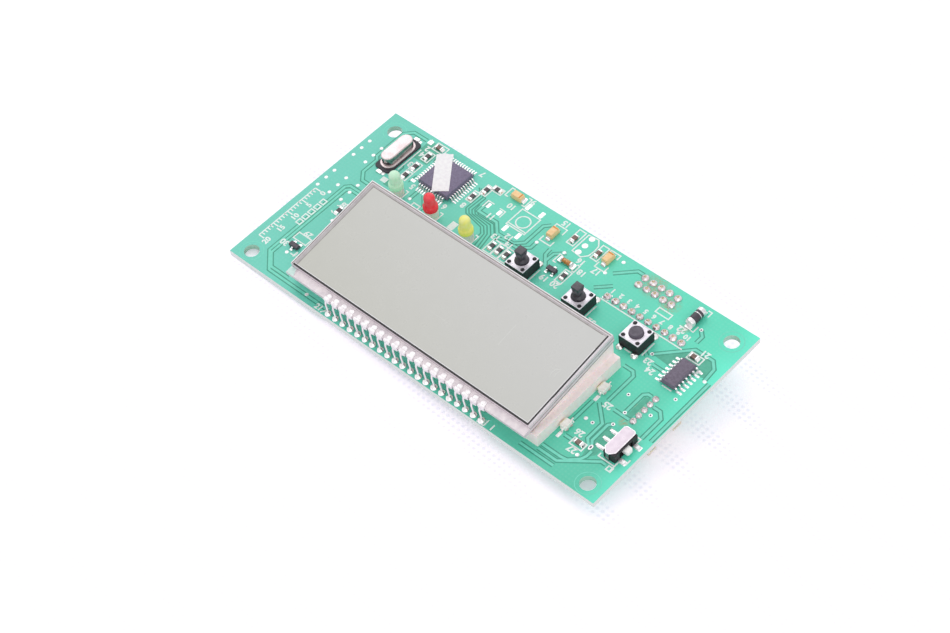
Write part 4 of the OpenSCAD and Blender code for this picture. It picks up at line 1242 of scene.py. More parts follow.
    def numbers(self) -> None:
        """Prints plain numbers: one by each part, the header's first and last pins, and the scale's tens."""
        small = [
            (-45.6, 28.2), (-44.5, 25.9), (-44.4, 19.3), (-44.3, 23.6), (-38.5, 14.0), (-27.4, 14.0),
            (-27.2, 28.1), (-24.0, 17.4), (-10.5, 28.9), (-14.0, 24.5), (-16.0, 18.9), (-7.7, 16.6),
            (-10.4, 14.6), (-6.0, 14.6), (0.7, 28.6), (11.5, 21.6), (16.5, 21.5), (14.0, 19.0), (7.8, 12.2),
            (11.2, 12.2), (53.1, 18.3), (44.0, 20.6), (43.9, 8.4), (46.0, 6.5), (44.9, -7.3), (44.9, -17.2),
            (46.6, -21.8), (-47.5, -1.4), (-48.0, -14.0), (-51.0, -19.4), (-45.4, -20.5), (25.6, 9.0),
            (54.4, 13.0),
        ]
        made = [Blank.numeral(str(i + 1), at, 1.75, 180.0) for i, at in enumerate(small)]
        start = self.ruler_at[1] - 0.1
        made += [Blank.numeral(str(n), (-55.0, start - n), 1.6, 90.0) for n in range(0, 21, 5)]
        made += [Blank.numeral(str(i + 1), (23.7 + PITCH * i, 19.5), 1.4, 180.0) for i in range(10)]
        made += [Blank.numeral(text, (x, CONTACTS_Y), 1.6, 0.0) for text, x in (("1", 28.3), ("21", -29.2))]
        joined(made).moved(spot(0, 0, 0.02)).settle("printed_numbers", INK)

    def pads(self) -> None:
        """Lays the tinned pads under the parts' ends and legs."""
        flat = [
            (-48.1, 26.1, 1.9, 1.3), (-48.1, 12.7, 1.9, 1.3), (-45.4, 28.0, 1.4, 1.4),
            (-39.8, 15.6, 1.4, 0.9), (-12.8, 27.9, 1.0, 1.9), (-10.5, 27.0, 1.1, 2.0), (-6.1, 27.0, 1.1, 2.0),
            (-10.5, 18.2, 1.1, 2.0), (-6.2, 18.2, 1.1, 2.0), (-18.9, 21.2, 1.1, 1.6), (-15.0, 21.0, 1.1, 1.6),
            (25.0, -28.9, 1.9, 1.7), (23.67, 17.3, 2.0, 2.0),
        ]
        cx, cy = CONTROLLER_AT
        for step in evenly(0.0, CONTROLLER_PITCH, 11):
            flat += [(cx + s * 6.35, cy + step, 1.5, 0.45) for s in (-1, 1)]
            flat += [(cx + step, cy + s * 6.35, 0.45, 1.5) for s in (-1, 1)]
        sx, sy = SMALL_CHIP_AT
        for step in evenly(0.0, SMALL_CHIP_PITCH, 7):
            flat += [(sx + s * 3.1, sy + step, 1.7, 0.62) for s in (-1, 1)]
        flat += [(51.4, y, 2.2, 1.0) for y in evenly(SWITCH_AT[1], PITCH, 3)]
        flat += [(58.0, y, 1.9, 1.35) for y in evenly(SWITCH_AT[1], TABS_APART, 2)]
        flat += [
            (41.5, -7.3, 0.9, 1.8), (41.5, -20.5, 0.9, 1.8), (41.5, -3.0, 0.9, 1.2), (41.5, -16.2, 0.9, 1.2)
        ]
        plate = Blank.block((1.0, 1.0, 0.03)).pick(Element.EDGE, upright).bevel(0.12, 2).done()
        plate.repeated([spot(x, y, size=(w, h, 1.0)) for x, y, w, h in flat]).settle("tinned_pads", TIN_AND_EDGE_HIGHLIGHT)

    def vias(self) -> None:
        """Lays the rows of test dots and the vias, with a dark disc painted in each bore as its shade."""
        dots = [(x, y) for x in (-58.4, -54.1) for y in (18.6, 15.6, 12.6, 5.6, 2.6, -0.5)]
        dots += [
            (-49.9, 5.6), (-49.9, 2.6), (-49.9, -0.5), (-46.6, -6.9), (-48.2, -21.4), (-39.8, 26.9),
            (19.8, 27.9),
        ]
        dots += [
            (-36.2, 10.5), (48.5, -22.2), (43.3, -13.2), (-34.4, -27.9), (18.4, 22.6), (-1.2, 19.6),
            (6.4, 21.3),
        ]
        dome = Blank.turned([(0.0, 0.0), (0.52, 0.0), (0.5, 0.05), (0.3, 0.12), (0.0, 0.14)], 16)
        dome.repeated([spot(x, y, turn=40 * i) for i, (x, y) in enumerate(dots)]).settle("test_dots", TIN_AND_EDGE_HIGHLIGHT)
        vias = [
            (55.9, 3.8), (46.55, -1.9), (54.35, -3.3), (49.25, -6.4), (49.3, -10.6), (45.3, -13.2),
            (43.2, 10.6), (47.7, 23.3),
        ]
        long_via = (49.5, -18.7)
        places = [spot(x, y) for x, y in vias] + [spot(57.9, 11.9), spot(*long_via, size=(1.05, 1.7, 1.0))]
        # Three open pads of a transistor that is not fitted
        places += [spot(8.9, y, size=(1.7, 1.7, 1.0)) for y in (28.8, 26.1, 23.6)]
        via_ring().repeated(places).settle("vias", TIN_AND_EDGE_HIGHLIGHT)
        places = [spot(x, y) for x, y in vias] + [spot(*long_via, size=(1.0, 2.4, 1.0))]
        # Dark discs painted in the bores as their shade
        Blank.rod(0.2, 0.02, (0, 0, 0.05), sides=12).repeated(places).settle("via_bore_shade", DARK_EPOXY_AND_BORE_SHADE)


@dataclass
class Underside:
    """The board's lower surface: the display's long tracks, outlines, vias and numbers."""

    track_w: float = 0.46
    gap_w: float = 0.78
    ink_w: float = 0.36

    def build(self) -> None:
        """Builds every layer from the board's face down."""
        self.tracks()
        self.ink()
        self.vias()
        self.numbers()

    def tracks(self) -> None:
        """Lays the tracks with their etched gaps, and the lands about the mounting holes."""
        runs = []
        for i, x in enumerate(CONTACTS_X):
            # The display's lines fan out to the left and run up to the controller
            side, up = -38.0 + 0.85 * i, -22.4 + 0.85 * i * 0.6
            runs.append(
                [
                    (x, -27.9), (x, up - 1.2), (x - 1.2, up), (side + 1.5, up), (side, up + 1.5),
                    (side, 12.6 + 0.15 * i),
                ]
            )
        for i, x in enumerate(LAMPS_X):
            runs.append(
                [(x - PITCH / 2, 8.9), (x - PITCH / 2, 5.5 - i), (x - 3.0, 3.8 - i), (-18.8, 3.8 - i)]
            )
        for i, x in enumerate(BUTTONS_X):
            runs.append([(x + 2.25, 8.4), (x + 2.25, 5.4), (x + 0.6, 3.8), (-10.0 + 3 * i, 3.8 - 1.1 * i)])
        for i, y in enumerate(evenly(SIDE_AT[1], SIDE_PITCH, 5)):
            runs.append([(51.4, y), (48.6, y), (46.4, y + 2.2), (46.4, 16.0 - i)])
        for i, x in enumerate(evenly(ROW_AT[0], PITCH, 10)):
            down = 0.8 * (i % 3)
            runs.append([(x, 16.2), (x, 13.9 - down), (x - 1.67, 12.4 - down)])
        Blank.strokes(runs, self.gap_w, 0.012, -BOARD_T - 0.012).settle("underside_gaps", GAP)
        Blank.strokes(runs, self.track_w, 0.024, -BOARD_T - 0.026).settle("underside_tracks", TRACK)
        Blank.strokes(hole_rings(), 0.3, 0.014, -BOARD_T - 0.014).settle("underside_hole_rings", TRACK)

    def ink(self) -> None:
        """Prints the outlines of the connectors and of the display's row."""
        lines = [
            box_line(21.9, 15.5, 48.3, 19.1), box_line(25.5, 23.0, 39.0, 29.0),
            box_line(49.6, -8.8, 59.2, 2.6), box_line(-27.6, -29.8, 26.9, -27.6),
        ]
        Blank.strokes(lines, self.ink_w, 0.014, -BOARD_T - 0.03).settle("underside_lines", INK)

    def vias(self) -> None:
        """Scatters the vias among the tracks."""
        places = [(-44.0 + 6.5 * i, -16.0 + 5.0 * (i % 4)) for i in range(14)]
        places += [(-50.0, 2.0), (-50.0, 8.0), (50.0, 8.0), (52.5, 12.5)]
        ring = via_ring().moved(Matrix.Rotation(math.pi, 4, "X"))
        ring.repeated([spot(x, y, -BOARD_T - 0.02) for x, y in places]).settle("underside_vias", TIN_AND_EDGE_HIGHLIGHT)

    def numbers(self) -> None:
        """Prints the first and last numbers of two rows, the right way round from below."""
        rows = ((1, 23.67, 20.4), (10, 46.53, 20.4), (1, -25.8, -26.6), (21, 25.0, -26.4))
        piece = joined([Blank.numeral(str(n), (x, y), 1.5, 180.0) for n, x, y in rows])
        piece.moved(spot(0, 0, -BOARD_T - 0.02, size=(1.0, 1.0, -1.0)))
        for polygon in piece.obj.data.polygons:
            polygon.flip()
        piece.settle("underside_numbers", INK)


@dataclass
class SolderJoints:
    """Every soldered through-hole joint, on both faces."""

    # Each profile from the pad up to where the lead shows, as shares of the radius and of the height
    cone: tuple[Pair, ...] = ((0.9, 0.14), (0.76, 0.36), (0.62, 0.6), (0.5, 0.8))
    bowl: tuple[Pair, ...] = ((0.99, 0.08), (0.95, 0.26), (0.86, 0.48), (0.71, 0.7), (0.52, 0.87))

    def fillet(self, radius: float, height: float, tip: float) -> Blank:
        """Turns one fillet: a hollow cone that wets the pad and climbs the lead.

        Args:
            radius: The pad's radius.
            height: The cone's height.
            tip: The lead's radius at the top.

        Returns:
            The fillet.
        """
        profile = [(0.0, 0.0), (radius, 0.0), (radius * 0.98, 0.05)] + [
            (radius * r, height * z) for r, z in self.cone
        ]
        profile += [(tip, 0.94 * height), (tip * 0.6, height), (0.0, height)]
        return Blank.turned(profile, 20).lumpy(0.05, 0.7)

    def dome(self, radius: float, height: float, tip: float) -> Blank:
        """Turns one full joint: a round dome of solder with the lead's end just showing in its top.

        Args:
            radius: The pad's radius.
            height: The dome's height.
            tip: The lead's radius at the top.

        Returns:
            The joint.
        """
        profile = [(0.0, 0.0), (radius, 0.0)] + [(radius * r, height * z) for r, z in self.bowl]
        profile += [(tip, 0.96 * height), (tip * 0.7, height), (0.0, height * 0.99)]
        return Blank.turned(profile, 22).lumpy(0.05, 0.8)

    def build(self) -> None:
        """Builds the joints of the display, the headers and the buttons, and all those of the underside."""
        rng = random.Random(7)

        def varied(x: float, y: float, z: float = 0.0) -> Matrix:
            """A joint's place, with the small differences of hand soldering."""
            grown = rng.uniform(0.94, 1.05)
            return spot(x, y, z, rng.uniform(0, 360), (grown, grown, rng.uniform(0.9, 1.04)))

        contacts = [(x, CONTACTS_Y) for x in CONTACTS_X]
        domes = self.dome(1.0, 0.95, 0.3).repeated([varied(*at) for at in contacts])
        domes.settle("display_domes", SOLDER, ["display_joints"])
        row = [(x, ROW_AT[1]) for x in evenly(ROW_AT[0], PITCH, 10)]
        pair = [(x, y) for x in evenly(PAIR_AT[0], PITCH, 5) for y in evenly(PAIR_AT[1], PITCH, 2)]
        side = [(SIDE_AT[0], y) for y in evenly(SIDE_AT[1], SIDE_PITCH, 5)]
        joints = self.dome(1.1, 0.85, 0.42).repeated([varied(*at) for at in row + pair])
        slim = self.dome(0.93, 0.82, 0.38).repeated([varied(*at) for at in side])
        joined([joints, slim]).settle("header_domes", DULL_SOLDER, ["header_joints"])
        tip = Blank.turned([(0.0, 0.0), (0.3, 0.0), (0.3, 0.07), (0.22, 0.13), (0.0, 0.14)], 12)
        tips = tip.repeated([spot(x, y, 0.99, size=(0.9, 0.9, 1.0)) for x, y in row + pair + side])
        tips.settle("lead_ends", LEAD_GREY)
        legs = [(x + sx * 2.25, BUTTONS_Y + sy * 3.65) for x in BUTTONS_X for sx in (-1, 1) for sy in (-1, 1)]
        domes = self.dome(1.12, 0.95, 0.4).repeated([varied(*at) for at in legs])
        domes.settle("button_domes", SOLDER, ["button_joints"])
        leads = [(x, LAMPS_Y) for lamp in LAMPS_X for x in evenly(lamp, PITCH, 2)]
        under = self.fillet(0.9, 0.88, 0.36).moved(Matrix.Rotation(math.pi, 4, "X"))
        under = under.repeated([varied(x, y, -BOARD_T) for x, y in contacts + legs + leads])
        under.settle("underside_fillets", SOLDER, ["underside_joints"])


@dataclass
class Display:
    """Two glass plates with a film on each, leaning on the light guide, and the clips that feed them."""

    length: float = 78.5
    depth: float = 32.0
    ledge: float = 2.2
    front_z: float = 1.4
    glass_t: float = 1.1
    film_inset: float = 0.9
    near_inset: float = 0.45
    seal_w: float = 0.95
    clip_w: float = 1.9
    # The middle clip stands this far right of the glass's middle
    clip_x: float = 0.6

    film_t: float = 0.2

    @property
    def lean(self) -> Matrix:
        """Takes the display's own frame, at the middle of its contact edge, to the board's."""
        return Matrix.Translation([v * MM for v in DISPLAY_AT]) @ Matrix.Rotation(DISPLAY_TILT, 4, "X")

    @property
    def film(self) -> Triple:
        """The film's half length, and its near and far edges."""
        return self.length / 2 - self.film_inset, self.ledge + self.near_inset, self.depth - self.film_inset

    @property
    def glass_top(self) -> float:
        """The height of the front glass."""
        return self.front_z + self.glass_t

    @property
    def film_top(self) -> float:
        """The height of the film on the front glass."""
        return self.glass_top + self.film_t

    def build(self) -> None:
        """Dresses the glass and films, and builds the film's cut edge with its painted shade, the seal lines,
        the painted rim highlights, the scratches, the seams, the clips and the resin.
        """
        dress("lcd_front_glass", GLASS, 0.08)
        dress("lcd_rear_glass", GLASS, 0.1)
        dress("lcd_seal", SEAL)
        dress("lcd_front_polariser", FILM, 0.04)
        dress("lcd_rear_polariser", BACK_FILM)
        self.cut_edge()
        self.seal()
        self.bright_rims()
        self.scratches()
        self.seams()
        self.contact_clips()
        self.resin()

    def lay(self, blanks: Sequence[Blank], name: str, finish: Finish) -> None:
        """Joins blanks, leans them with the display and makes them a piece."""
        joined(blanks).moved(self.lean).settle(name, finish)

    def cut_edge(self) -> None:
        """Draws the film's black cut edge, near and right; its black also paints the shade beside the film on
        these sides.
        """
        half, near, far = self.film
        front = Blank.strokes([[(-half, near - 0.2), (half + 0.05, near - 0.2)]], 0.46, 0.215, self.glass_top)
        # The cut along the right end wanders by a tenth, and is chipped a third of the way up
        cut = [
            (0.16, -0.37), (0.15, 6.5), (0.12, 8.2), (0.25, 8.9), (0.2, 12.0), (0.14, 20.0),
            (0.12, far - near),
        ]
        right = Blank.strokes([[(half + x, near + y) for x, y in cut]], 0.3, 0.18, self.glass_top)
        self.lay([front, right], "film_edge_and_shade", FILM_EDGE_SHADE)

    def seal(self) -> None:
        """Draws the seal as the glass shows it: a grey band left and far, with a dark line on each side."""
        half, near, far = self.film
        # It is narrower along the far edge
        band, slim = self.seal_w, self.seal_w * 0.55
        left = Blank.strokes(
            [[(-half + band / 2, near), (-half + band / 2, far)]], band, 0.006, self.film_top
        )
        away = Blank.strokes(
            [[(-half, far - slim / 2), (half - 0.1, far - slim / 2)]], slim, 0.008, self.film_top
        )
        self.lay([left, away], "seal_band", SEAL_BAND)
        run = [(-half + band, near), (-half + band, far - slim), (half - 1.0, far - slim)]
        inner = Blank.strokes([run], 0.2, 0.004, self.film_top + 0.006)
        edge, back = self.length / 2, self.depth - 0.42
        run = [(-edge + 0.45, self.ledge + 0.1), (-edge + 0.45, back), (edge - 0.3, back)]
        outer = Blank.strokes([run], 0.24, 0.01, self.glass_top)
        self.lay([inner, outer], "seal_dark_lines", SEAL_LINE)

    def bright_rims(self) -> None:
        """Paints highlights along the edges of the film and of the glass."""
        half, near, far = self.film
        run = [(-half + 0.2, near + 0.1), (half - 0.1, near + 0.1), (half - 0.1, near + 24.0)]
        shine = Blank.strokes([run], 0.15, 0.008, self.film_top)
        edge, back = self.length / 2, self.depth - 0.14
        rims = [
            [(-edge + 0.14, self.ledge + 0.1), (-edge + 0.14, back), (edge - 0.14, back)],
            [(edge - 0.42, near), (edge - 0.42, far)],
        ]
        self.lay([shine, Blank.strokes(rims, 0.2, 0.012, self.glass_top)], "bright_rims", RIM_HIGHLIGHT)

    def scratches(self) -> None:
        """Scores the film as handling has: one straight line and two short curls by the right end."""
        runs = [
            [(18.9, 14.3), (18.8, 17.6), (18.8, 20.9)],
            [(34.5, 14.7), (34.1, 15.9), (34.4, 17.1), (35.4, 17.9)],
            [(35.4, 15.4), (35.2, 16.2), (35.5, 17.3)],
        ]
        self.lay([Blank.strokes(runs, 0.13, 0.003, self.film_top + 0.001)], "film_scratches", SCRATCH)

    def seams(self) -> None:
        """Draws the glued seam and the rear film, which show as dark lines along the ends of the stack."""
        depth, middle = self.depth - self.ledge - 0.4, (self.depth + self.ledge) / 2
        heights = ((0.02, 0.3), (1.26, 0.18))
        made = [
            Blank.block((0.02, depth, h), (s * (self.length / 2 + 0.01), middle, z))
            for s in (-1, 1) for z, h in heights
        ]
        made += [Blank.block((self.length - 0.4, 0.02, h), (0, self.depth + 0.01, z)) for z, h in heights]
        self.lay(made, "stack_seams", SEAL_LINE)

    def contact_clips(self) -> None:
        """Builds the clips: a soft jaw over the ledge, a wall down its edge, and a leg into the board."""
        jaw = Blank.block((1.5, 1.75, 0.42), (0, 0.85, 1.28))
        jaw.pick(Element.EDGE, lambda m, d: abs(d.z) > 0.9 and m.y > 1.0).bevel(0.6, 4).done()
        jaw = jaw.eased(0.16, 3)
        brow = Blank.block((self.clip_w, 0.85, 0.6), (0, 0.12, 1.26)).eased(0.2, 3)
        wall = Blank.block((self.clip_w, 0.26, 1.9), (0, -0.2, -0.35))
        wall.pick(Element.POINT, lambda m, n: m.x > 0.5 and m.z < 0.0).shift((0, 0, 0.75)).done()
        wall = wall.eased(0.06)
        head = joined([jaw, brow, wall]).lumpy(0.035, 0.8).moved(self.lean @ spot(-DISPLAY_AT[0], 0))
        leg_t = 0.25
        leg = Blank.strokes([[(-0.64, 3.7), (-0.62, 2.7), (-0.1, 1.4), (0.0, 0.6), (0.0, -2.5)]], 0.5, leg_t)
        leg.moved(Matrix.Rotation(math.pi / 2, 4, "X"))
        # Above the board the leg slants towards the glass
        for vertex in leg.obj.data.vertices:
            rise = max(0.0, min(1.0, (vertex.co.z / MM - 0.6) / 3.0))
            vertex.co.y += (CONTACTS_Y + leg_t / 2 + 0.42 * rise) * MM
        clips = joined([head, leg.eased(0.06)]).repeated([spot(x, 0) for x in CONTACTS_X])
        clips.settle("contact_clips", CLIP, ["lcd_contact_pins"])

    def resin(self) -> None:
        """Spreads the thin resin over the ledge between the clips, short of the left corner."""
        under = 1.295
        film = Blank.block((75.8, 2.14, 0.09), (1.3, 1.1, under))
        film.pick(Element.EDGE, along_x).cut(90)
        film.pick(Element.EDGE, along_y).cut(3).done()
        for vertex in film.obj.data.vertices:
            x, y, z = vertex.co / MM
            # The resin climbs each clip a little, and more towards the glass
            clip = 0.5 + 0.5 * math.cos(2 * math.pi * (x - self.clip_x) / PITCH)
            if z > under + 0.005:
                vertex.co.z += (
                    0.05 * clip + 0.12 * max(0.0, y - 1.3) + 0.04 * noise.noise(Vector((x, y, 3.0)))
                ) * MM
            elif y < 0.1:
                vertex.co.z = z * MM
        film.moved(self.lean).settle("ledge_resin", RESIN, ["lcd_pin_resin"])
        corner = Blank.block((2.5, 2.0, 0.03), (-37.9, 1.1, under))
        corner.pick(Element.POINT, lambda m, n: m.x > -38.0 and m.y > 1.0).shift((-0.9, 0, 0)).done()
        corner.moved(self.lean).settle("bare_ledge_corner", BARE_GLASS)


@dataclass
class Backlight:
    """The light guide between its films, and the two lamps that shine into its end."""

    lamps_y: Pair = (-4.5, -17.8)
    guide_right: float = 40.0
    # The lamps' middle stands this far past the guide's end
    past: float = 1.4

    def build(self) -> None:
        """Dresses the guide and films, and builds the lamps."""
        dress("light_guide", ACRYLIC, 0.12)
        dress("guide_reflector", WHITE_FILM)
        dress("guide_diffuser", WHITE_FILM, 0.03)
        dress("side_led_windows", LED_GEL)
        middle = self.guide_right + self.past
        shell = Blank.block((1.7, 2.5, 1.5), (middle, 0, 0.05)).pick(Element.FACE, top_face).inset(0.24)
        shell = shell.resize((0.9, 0.9, 1), (middle, 0, 1.55)).shift((0, 0, -0.12)).done().eased(0.12)
        tags = [Blank.block((1.1, 0.75, 0.85), (middle, s * 1.4, 0.0)).eased(0.15) for s in (-1, 1)]
        shells = shell.repeated([spot(0, y) for y in self.lamps_y])
        shells.settle("side_lamp_shells", LED_SHELL, ["side_led_bodies"])
        joined(tags).repeated([spot(0, y) for y in self.lamps_y]).settle("side_lamp_tags", SOLDER)
        foot = Blank.block((0.35, 0.7, 0.1), (middle + 0.98, 0, 0.4)).eased(0.03)
        foot.repeated([spot(0, y + s * 0.75) for y in self.lamps_y for s in (-1, 1)]).settle(
            "side_lamp_feet", LEAD_GREY
        )
        wick = Blank.block((0.45, 2.0, 0.3), (middle, 0, 0)).eased(0.12)
        wick.repeated([spot(0, y - 2.5, turn=6) for y in self.lamps_y]).settle("side_lamp_tails", SOLDER)


@dataclass
class Lamps:
    """Three 3 mm lamps, each on a nylon spacer."""

    radius: float = 1.5
    rim: float = 1.95
    height: float = 5.4
    lift: float = 2.6

    def build(self) -> None:
        """Turns the lenses and spacers and dresses the leads."""
        r, rim, top = self.radius, self.rim, self.height
        barrel = top - r
        profile = [
            (0.0, 0.0), (rim - 0.12, 0.0), (rim, 0.12), (rim, 1.3), (rim - 0.16, 1.5), (r + 0.1, 1.62),
            (r, 1.8), (r, barrel),
        ]
        # The dome, to its crown
        profile += [
            (r * math.cos(a), barrel + r * math.sin(a)) for a in (math.radians(d) for d in range(12, 90, 13))
        ]
        profile.append((0.0, top))
        for x, finish, colour in zip(
            LAMPS_X, (GREEN_LENS, RED_LENS, YELLOW_LENS), ("green", "red", "yellow")
        ):
            lens = Blank.turned(profile, 40).moved(spot(x, LAMPS_Y, self.lift, 37.0))
            lens.settle(f"{colour}_lens", finish, [f"{colour}_lamp"])
        inner, outer, high = rim - 0.25, rim - 0.12, self.lift - 0.01
        profile = [(0.0, 0.0), (inner, 0.0), (outer, 0.12), (outer, high - 0.13), (inner, high), (0.0, high)]
        rings = Blank.turned(profile, 36).repeated([spot(x, LAMPS_Y) for x in LAMPS_X])
        rings.settle("spacer_rings", SPACER, ["lamp_spacers"])
        dress("lamp_leads", WIRE)


@dataclass
class PushButtons:
    """Three square push buttons: two with tall square-headed plungers, one with a low round one."""

    cover_top: float = 3.45
    plunger_r: float = 1.75
    # A tall plunger's square head, and where it starts above the cover
    head: Triple = (2.4, 2.4, 2.45)
    neck: float = 1.4
    # The stakes that hold the cover stand this far from the middle each way
    stake: float = 2.2

    def build(self) -> None:
        """Dresses the switches, and builds the plungers and the heads of the stakes that hold the covers."""
        dress("button_housings", SWITCH_BLACK, 0.12)
        dress("button_covers", STEEL_COVER, 0.06)
        dress("button_snap_domes", SPRING)
        dress("button_legs", PIN, 0.05)
        self.tall(BUTTONS_X[0], "tall_button_left", "left_button")
        self.tall(BUTTONS_X[1], "tall_button_right", "middle_button")
        self.low()
        head = Blank.turned(
            [(0.0, 0.0), (0.52, 0.0), (0.52, 0.06), (0.42, 0.17), (0.2, 0.22), (0.0, 0.23)], 20
        )
        corners = [(sx * self.stake, sy * self.stake) for sx in (-1, 1) for sy in (-1, 1)]
        places = [
            spot(x + dx, BUTTONS_Y + dy, self.cover_top + 0.01) for x in BUTTONS_X for dx, dy in corners
        ]
        head.repeated(places).settle("stake_heads", SWITCH_BLACK)

    def root(self) -> list[Pair]:
        """The plunger's profile inside the switch, from its pusher to the cover's top."""
        r = self.plunger_r
        return [
            (0.0, 1.45), (0.75, 1.45), (0.75, 2.45), (2.0, 2.45), (2.0, 3.15), (r, 3.15), (r, self.cover_top)
        ]

    def tall(self, x: float, node: str, body: str) -> None:
        """Builds a tall plunger: a round collar, a cone, and a square head that narrows towards its foot.

        Args:
            x: Where the button stands.
            node: The plunger.
            body: The body that it moves with.
        """
        r, top = self.plunger_r, self.cover_top
        cone = [(r, 0.45), (r - 0.1, 0.6), (1.42, 0.7), (1.05, 1.15), (0.98, 1.6), (0.0, 1.6)]
        stem = Blank.turned(self.root() + [(radius, top + z) for radius, z in cone], 40)
        foot, crown = top + self.neck, top + self.neck + self.head[2]
        head = Blank.block(self.head, (0, 0, foot))
        head.pick(Element.EDGE, upright).bevel(0.2, 3)
        head.pick(Element.FACE, lambda m, n: n.z < -0.9).resize((0.78, 0.78, 1), (0, 0, foot))
        head.pick(Element.EDGE, lambda m, d: m.z > crown - 0.01 and abs(d.z) < 0.1).bevel(0.12, 3).done()
        joined([stem, head]).moved(spot(x, BUTTONS_Y)).settle(f"{node}_plunger", PLUNGER, [node], body)

    def low(self) -> None:
        """Builds the low plunger with its rounded rim and slightly dished top."""
        r, top = self.plunger_r, self.cover_top
        rim = [(r, 0.62), (r - 0.07, 0.78), (r - 0.2, 0.84), (r - 0.45, 0.82), (0.0, 0.76)]
        plunger = Blank.turned(self.root() + [(radius, top + z) for radius, z in rim], 40)
        plunger.moved(spot(BUTTONS_X[2], BUTTONS_Y))
        plunger.settle("low_button_plunger", LIGHTER_PLUNGER, ["low_button"], "right_button")


@dataclass
class SlideSwitch:
    """A side-acting slide switch in a bright folded shell."""

    at: Pair = SWITCH_AT
    size: Triple = (3.7, 8.7, 2.8)
    sheet: float = 0.3
    front_gap: float = 0.4
    near_cut: float = 1.2
    far_cut: float = 0.5

    def build(self) -> None:
        """Dresses the body and leads, and builds the shell, the knob and the solder on the leads."""
        dress("slide_switch_body", SWITCH_BLACK, 0.08)
        dress("slide_switch_leads", PIN, 0.06)
        dress("slide_contact", BRASS)
        self.shell()
        self.knob()
        # Solder along the leads, and round the locating tabs in front
        back = Blank.block((2.7, 0.78, 0.42)).pick(Element.FACE, lambda m, n: n.x < -0.9)
        back = back.resize((1, 0.55, 0.6), (-1.35, 0, 0)).done().eased(0.15, 3).lumpy(0.05, 0.6)
        backs = back.repeated([spot(51.2, y) for y in evenly(self.at[1], PITCH, 3)])
        tab = mound((1.55, 1.15, 0.4), 0.17, 3, 0.05, 0.6)
        tabs = tab.repeated([spot(57.75, y) for y in evenly(self.at[1], TABS_APART, 2)])
        joined([backs, tabs]).settle("switch_lead_solder", TIN_AND_EDGE_HIGHLIGHT)

    def shell(self) -> None:
        """Folds the shell: a top with cut corners, a back wall and two narrower end walls."""
        width, length, height = self.size
        back, end = -width / 2, length / 2
        front, near, far = width / 2 - self.front_gap, self.near_cut, self.far_cut
        outline = [(back, near - end), (back + near, -end), (front - near, -end), (front, near - end)]
        outline += [(front, end - far), (front - far, end), (back + far, end), (back, end - far)]
        wall, low = height - self.sheet, 0.05
        top = Blank.plate(outline, self.sheet, wall).eased(0.1, 3)
        rear = Blank.block(
            (self.sheet, length - near - far, wall), (back + self.sheet / 2, (near - far) / 2, low)
        )
        shell = joined([top, rear.eased(0.1, 2)]).moved(spot(*self.at))
        shell.settle("switch_shell", SLIDE_COVER, ["slide_switch_cover"])
        ends = []
        for side, cut in ((-1, near), (1, far)):
            at = ((front + back) / 2, side * (end - self.sheet / 2), low)
            ends.append(Blank.block((front - back - 2 * cut, self.sheet, wall), at).eased(0.06, 2))
        joined(ends).moved(spot(*self.at)).settle("switch_shell_ends", SHELL_END)
        # A painted highlight along the rolled edge of the top
        lip = [(x * 0.955 - 0.008, y * 0.98) for x, y in outline + outline[:1]]
        Blank.strokes([lip], 0.14, 0.006, height).moved(spot(*self.at)).settle("shell_edge_highlight", TIN_AND_EDGE_HIGHLIGHT)

    def knob(self) -> None:
        """Builds the knob with its rounded tip, and the carriage behind it."""
        carriage = Blank.block((1.2, 3.2, 1.05), (-0.35, 0, 0.85)).eased(0.08)
        stem = Blank.block((3.15, 1.9, 1.3), (1.575, 0, 0.6))
        stem.pick(Element.EDGE, lambda m, d: m.x > 3.1 and abs(d.z) > 0.9).bevel(0.5, 4)
        stem.pick(Element.EDGE, lambda m, d: m.x > 2.6 and abs(d.z) < 0.1 and m.z > 1.8).bevel(0.3, 3).done()
        knob = joined([carriage, stem.eased(0.07, 2)]).moved(spot(*self.at))
        knob.settle("switch_knob", KNOB, ["slide_knob"], "slider")


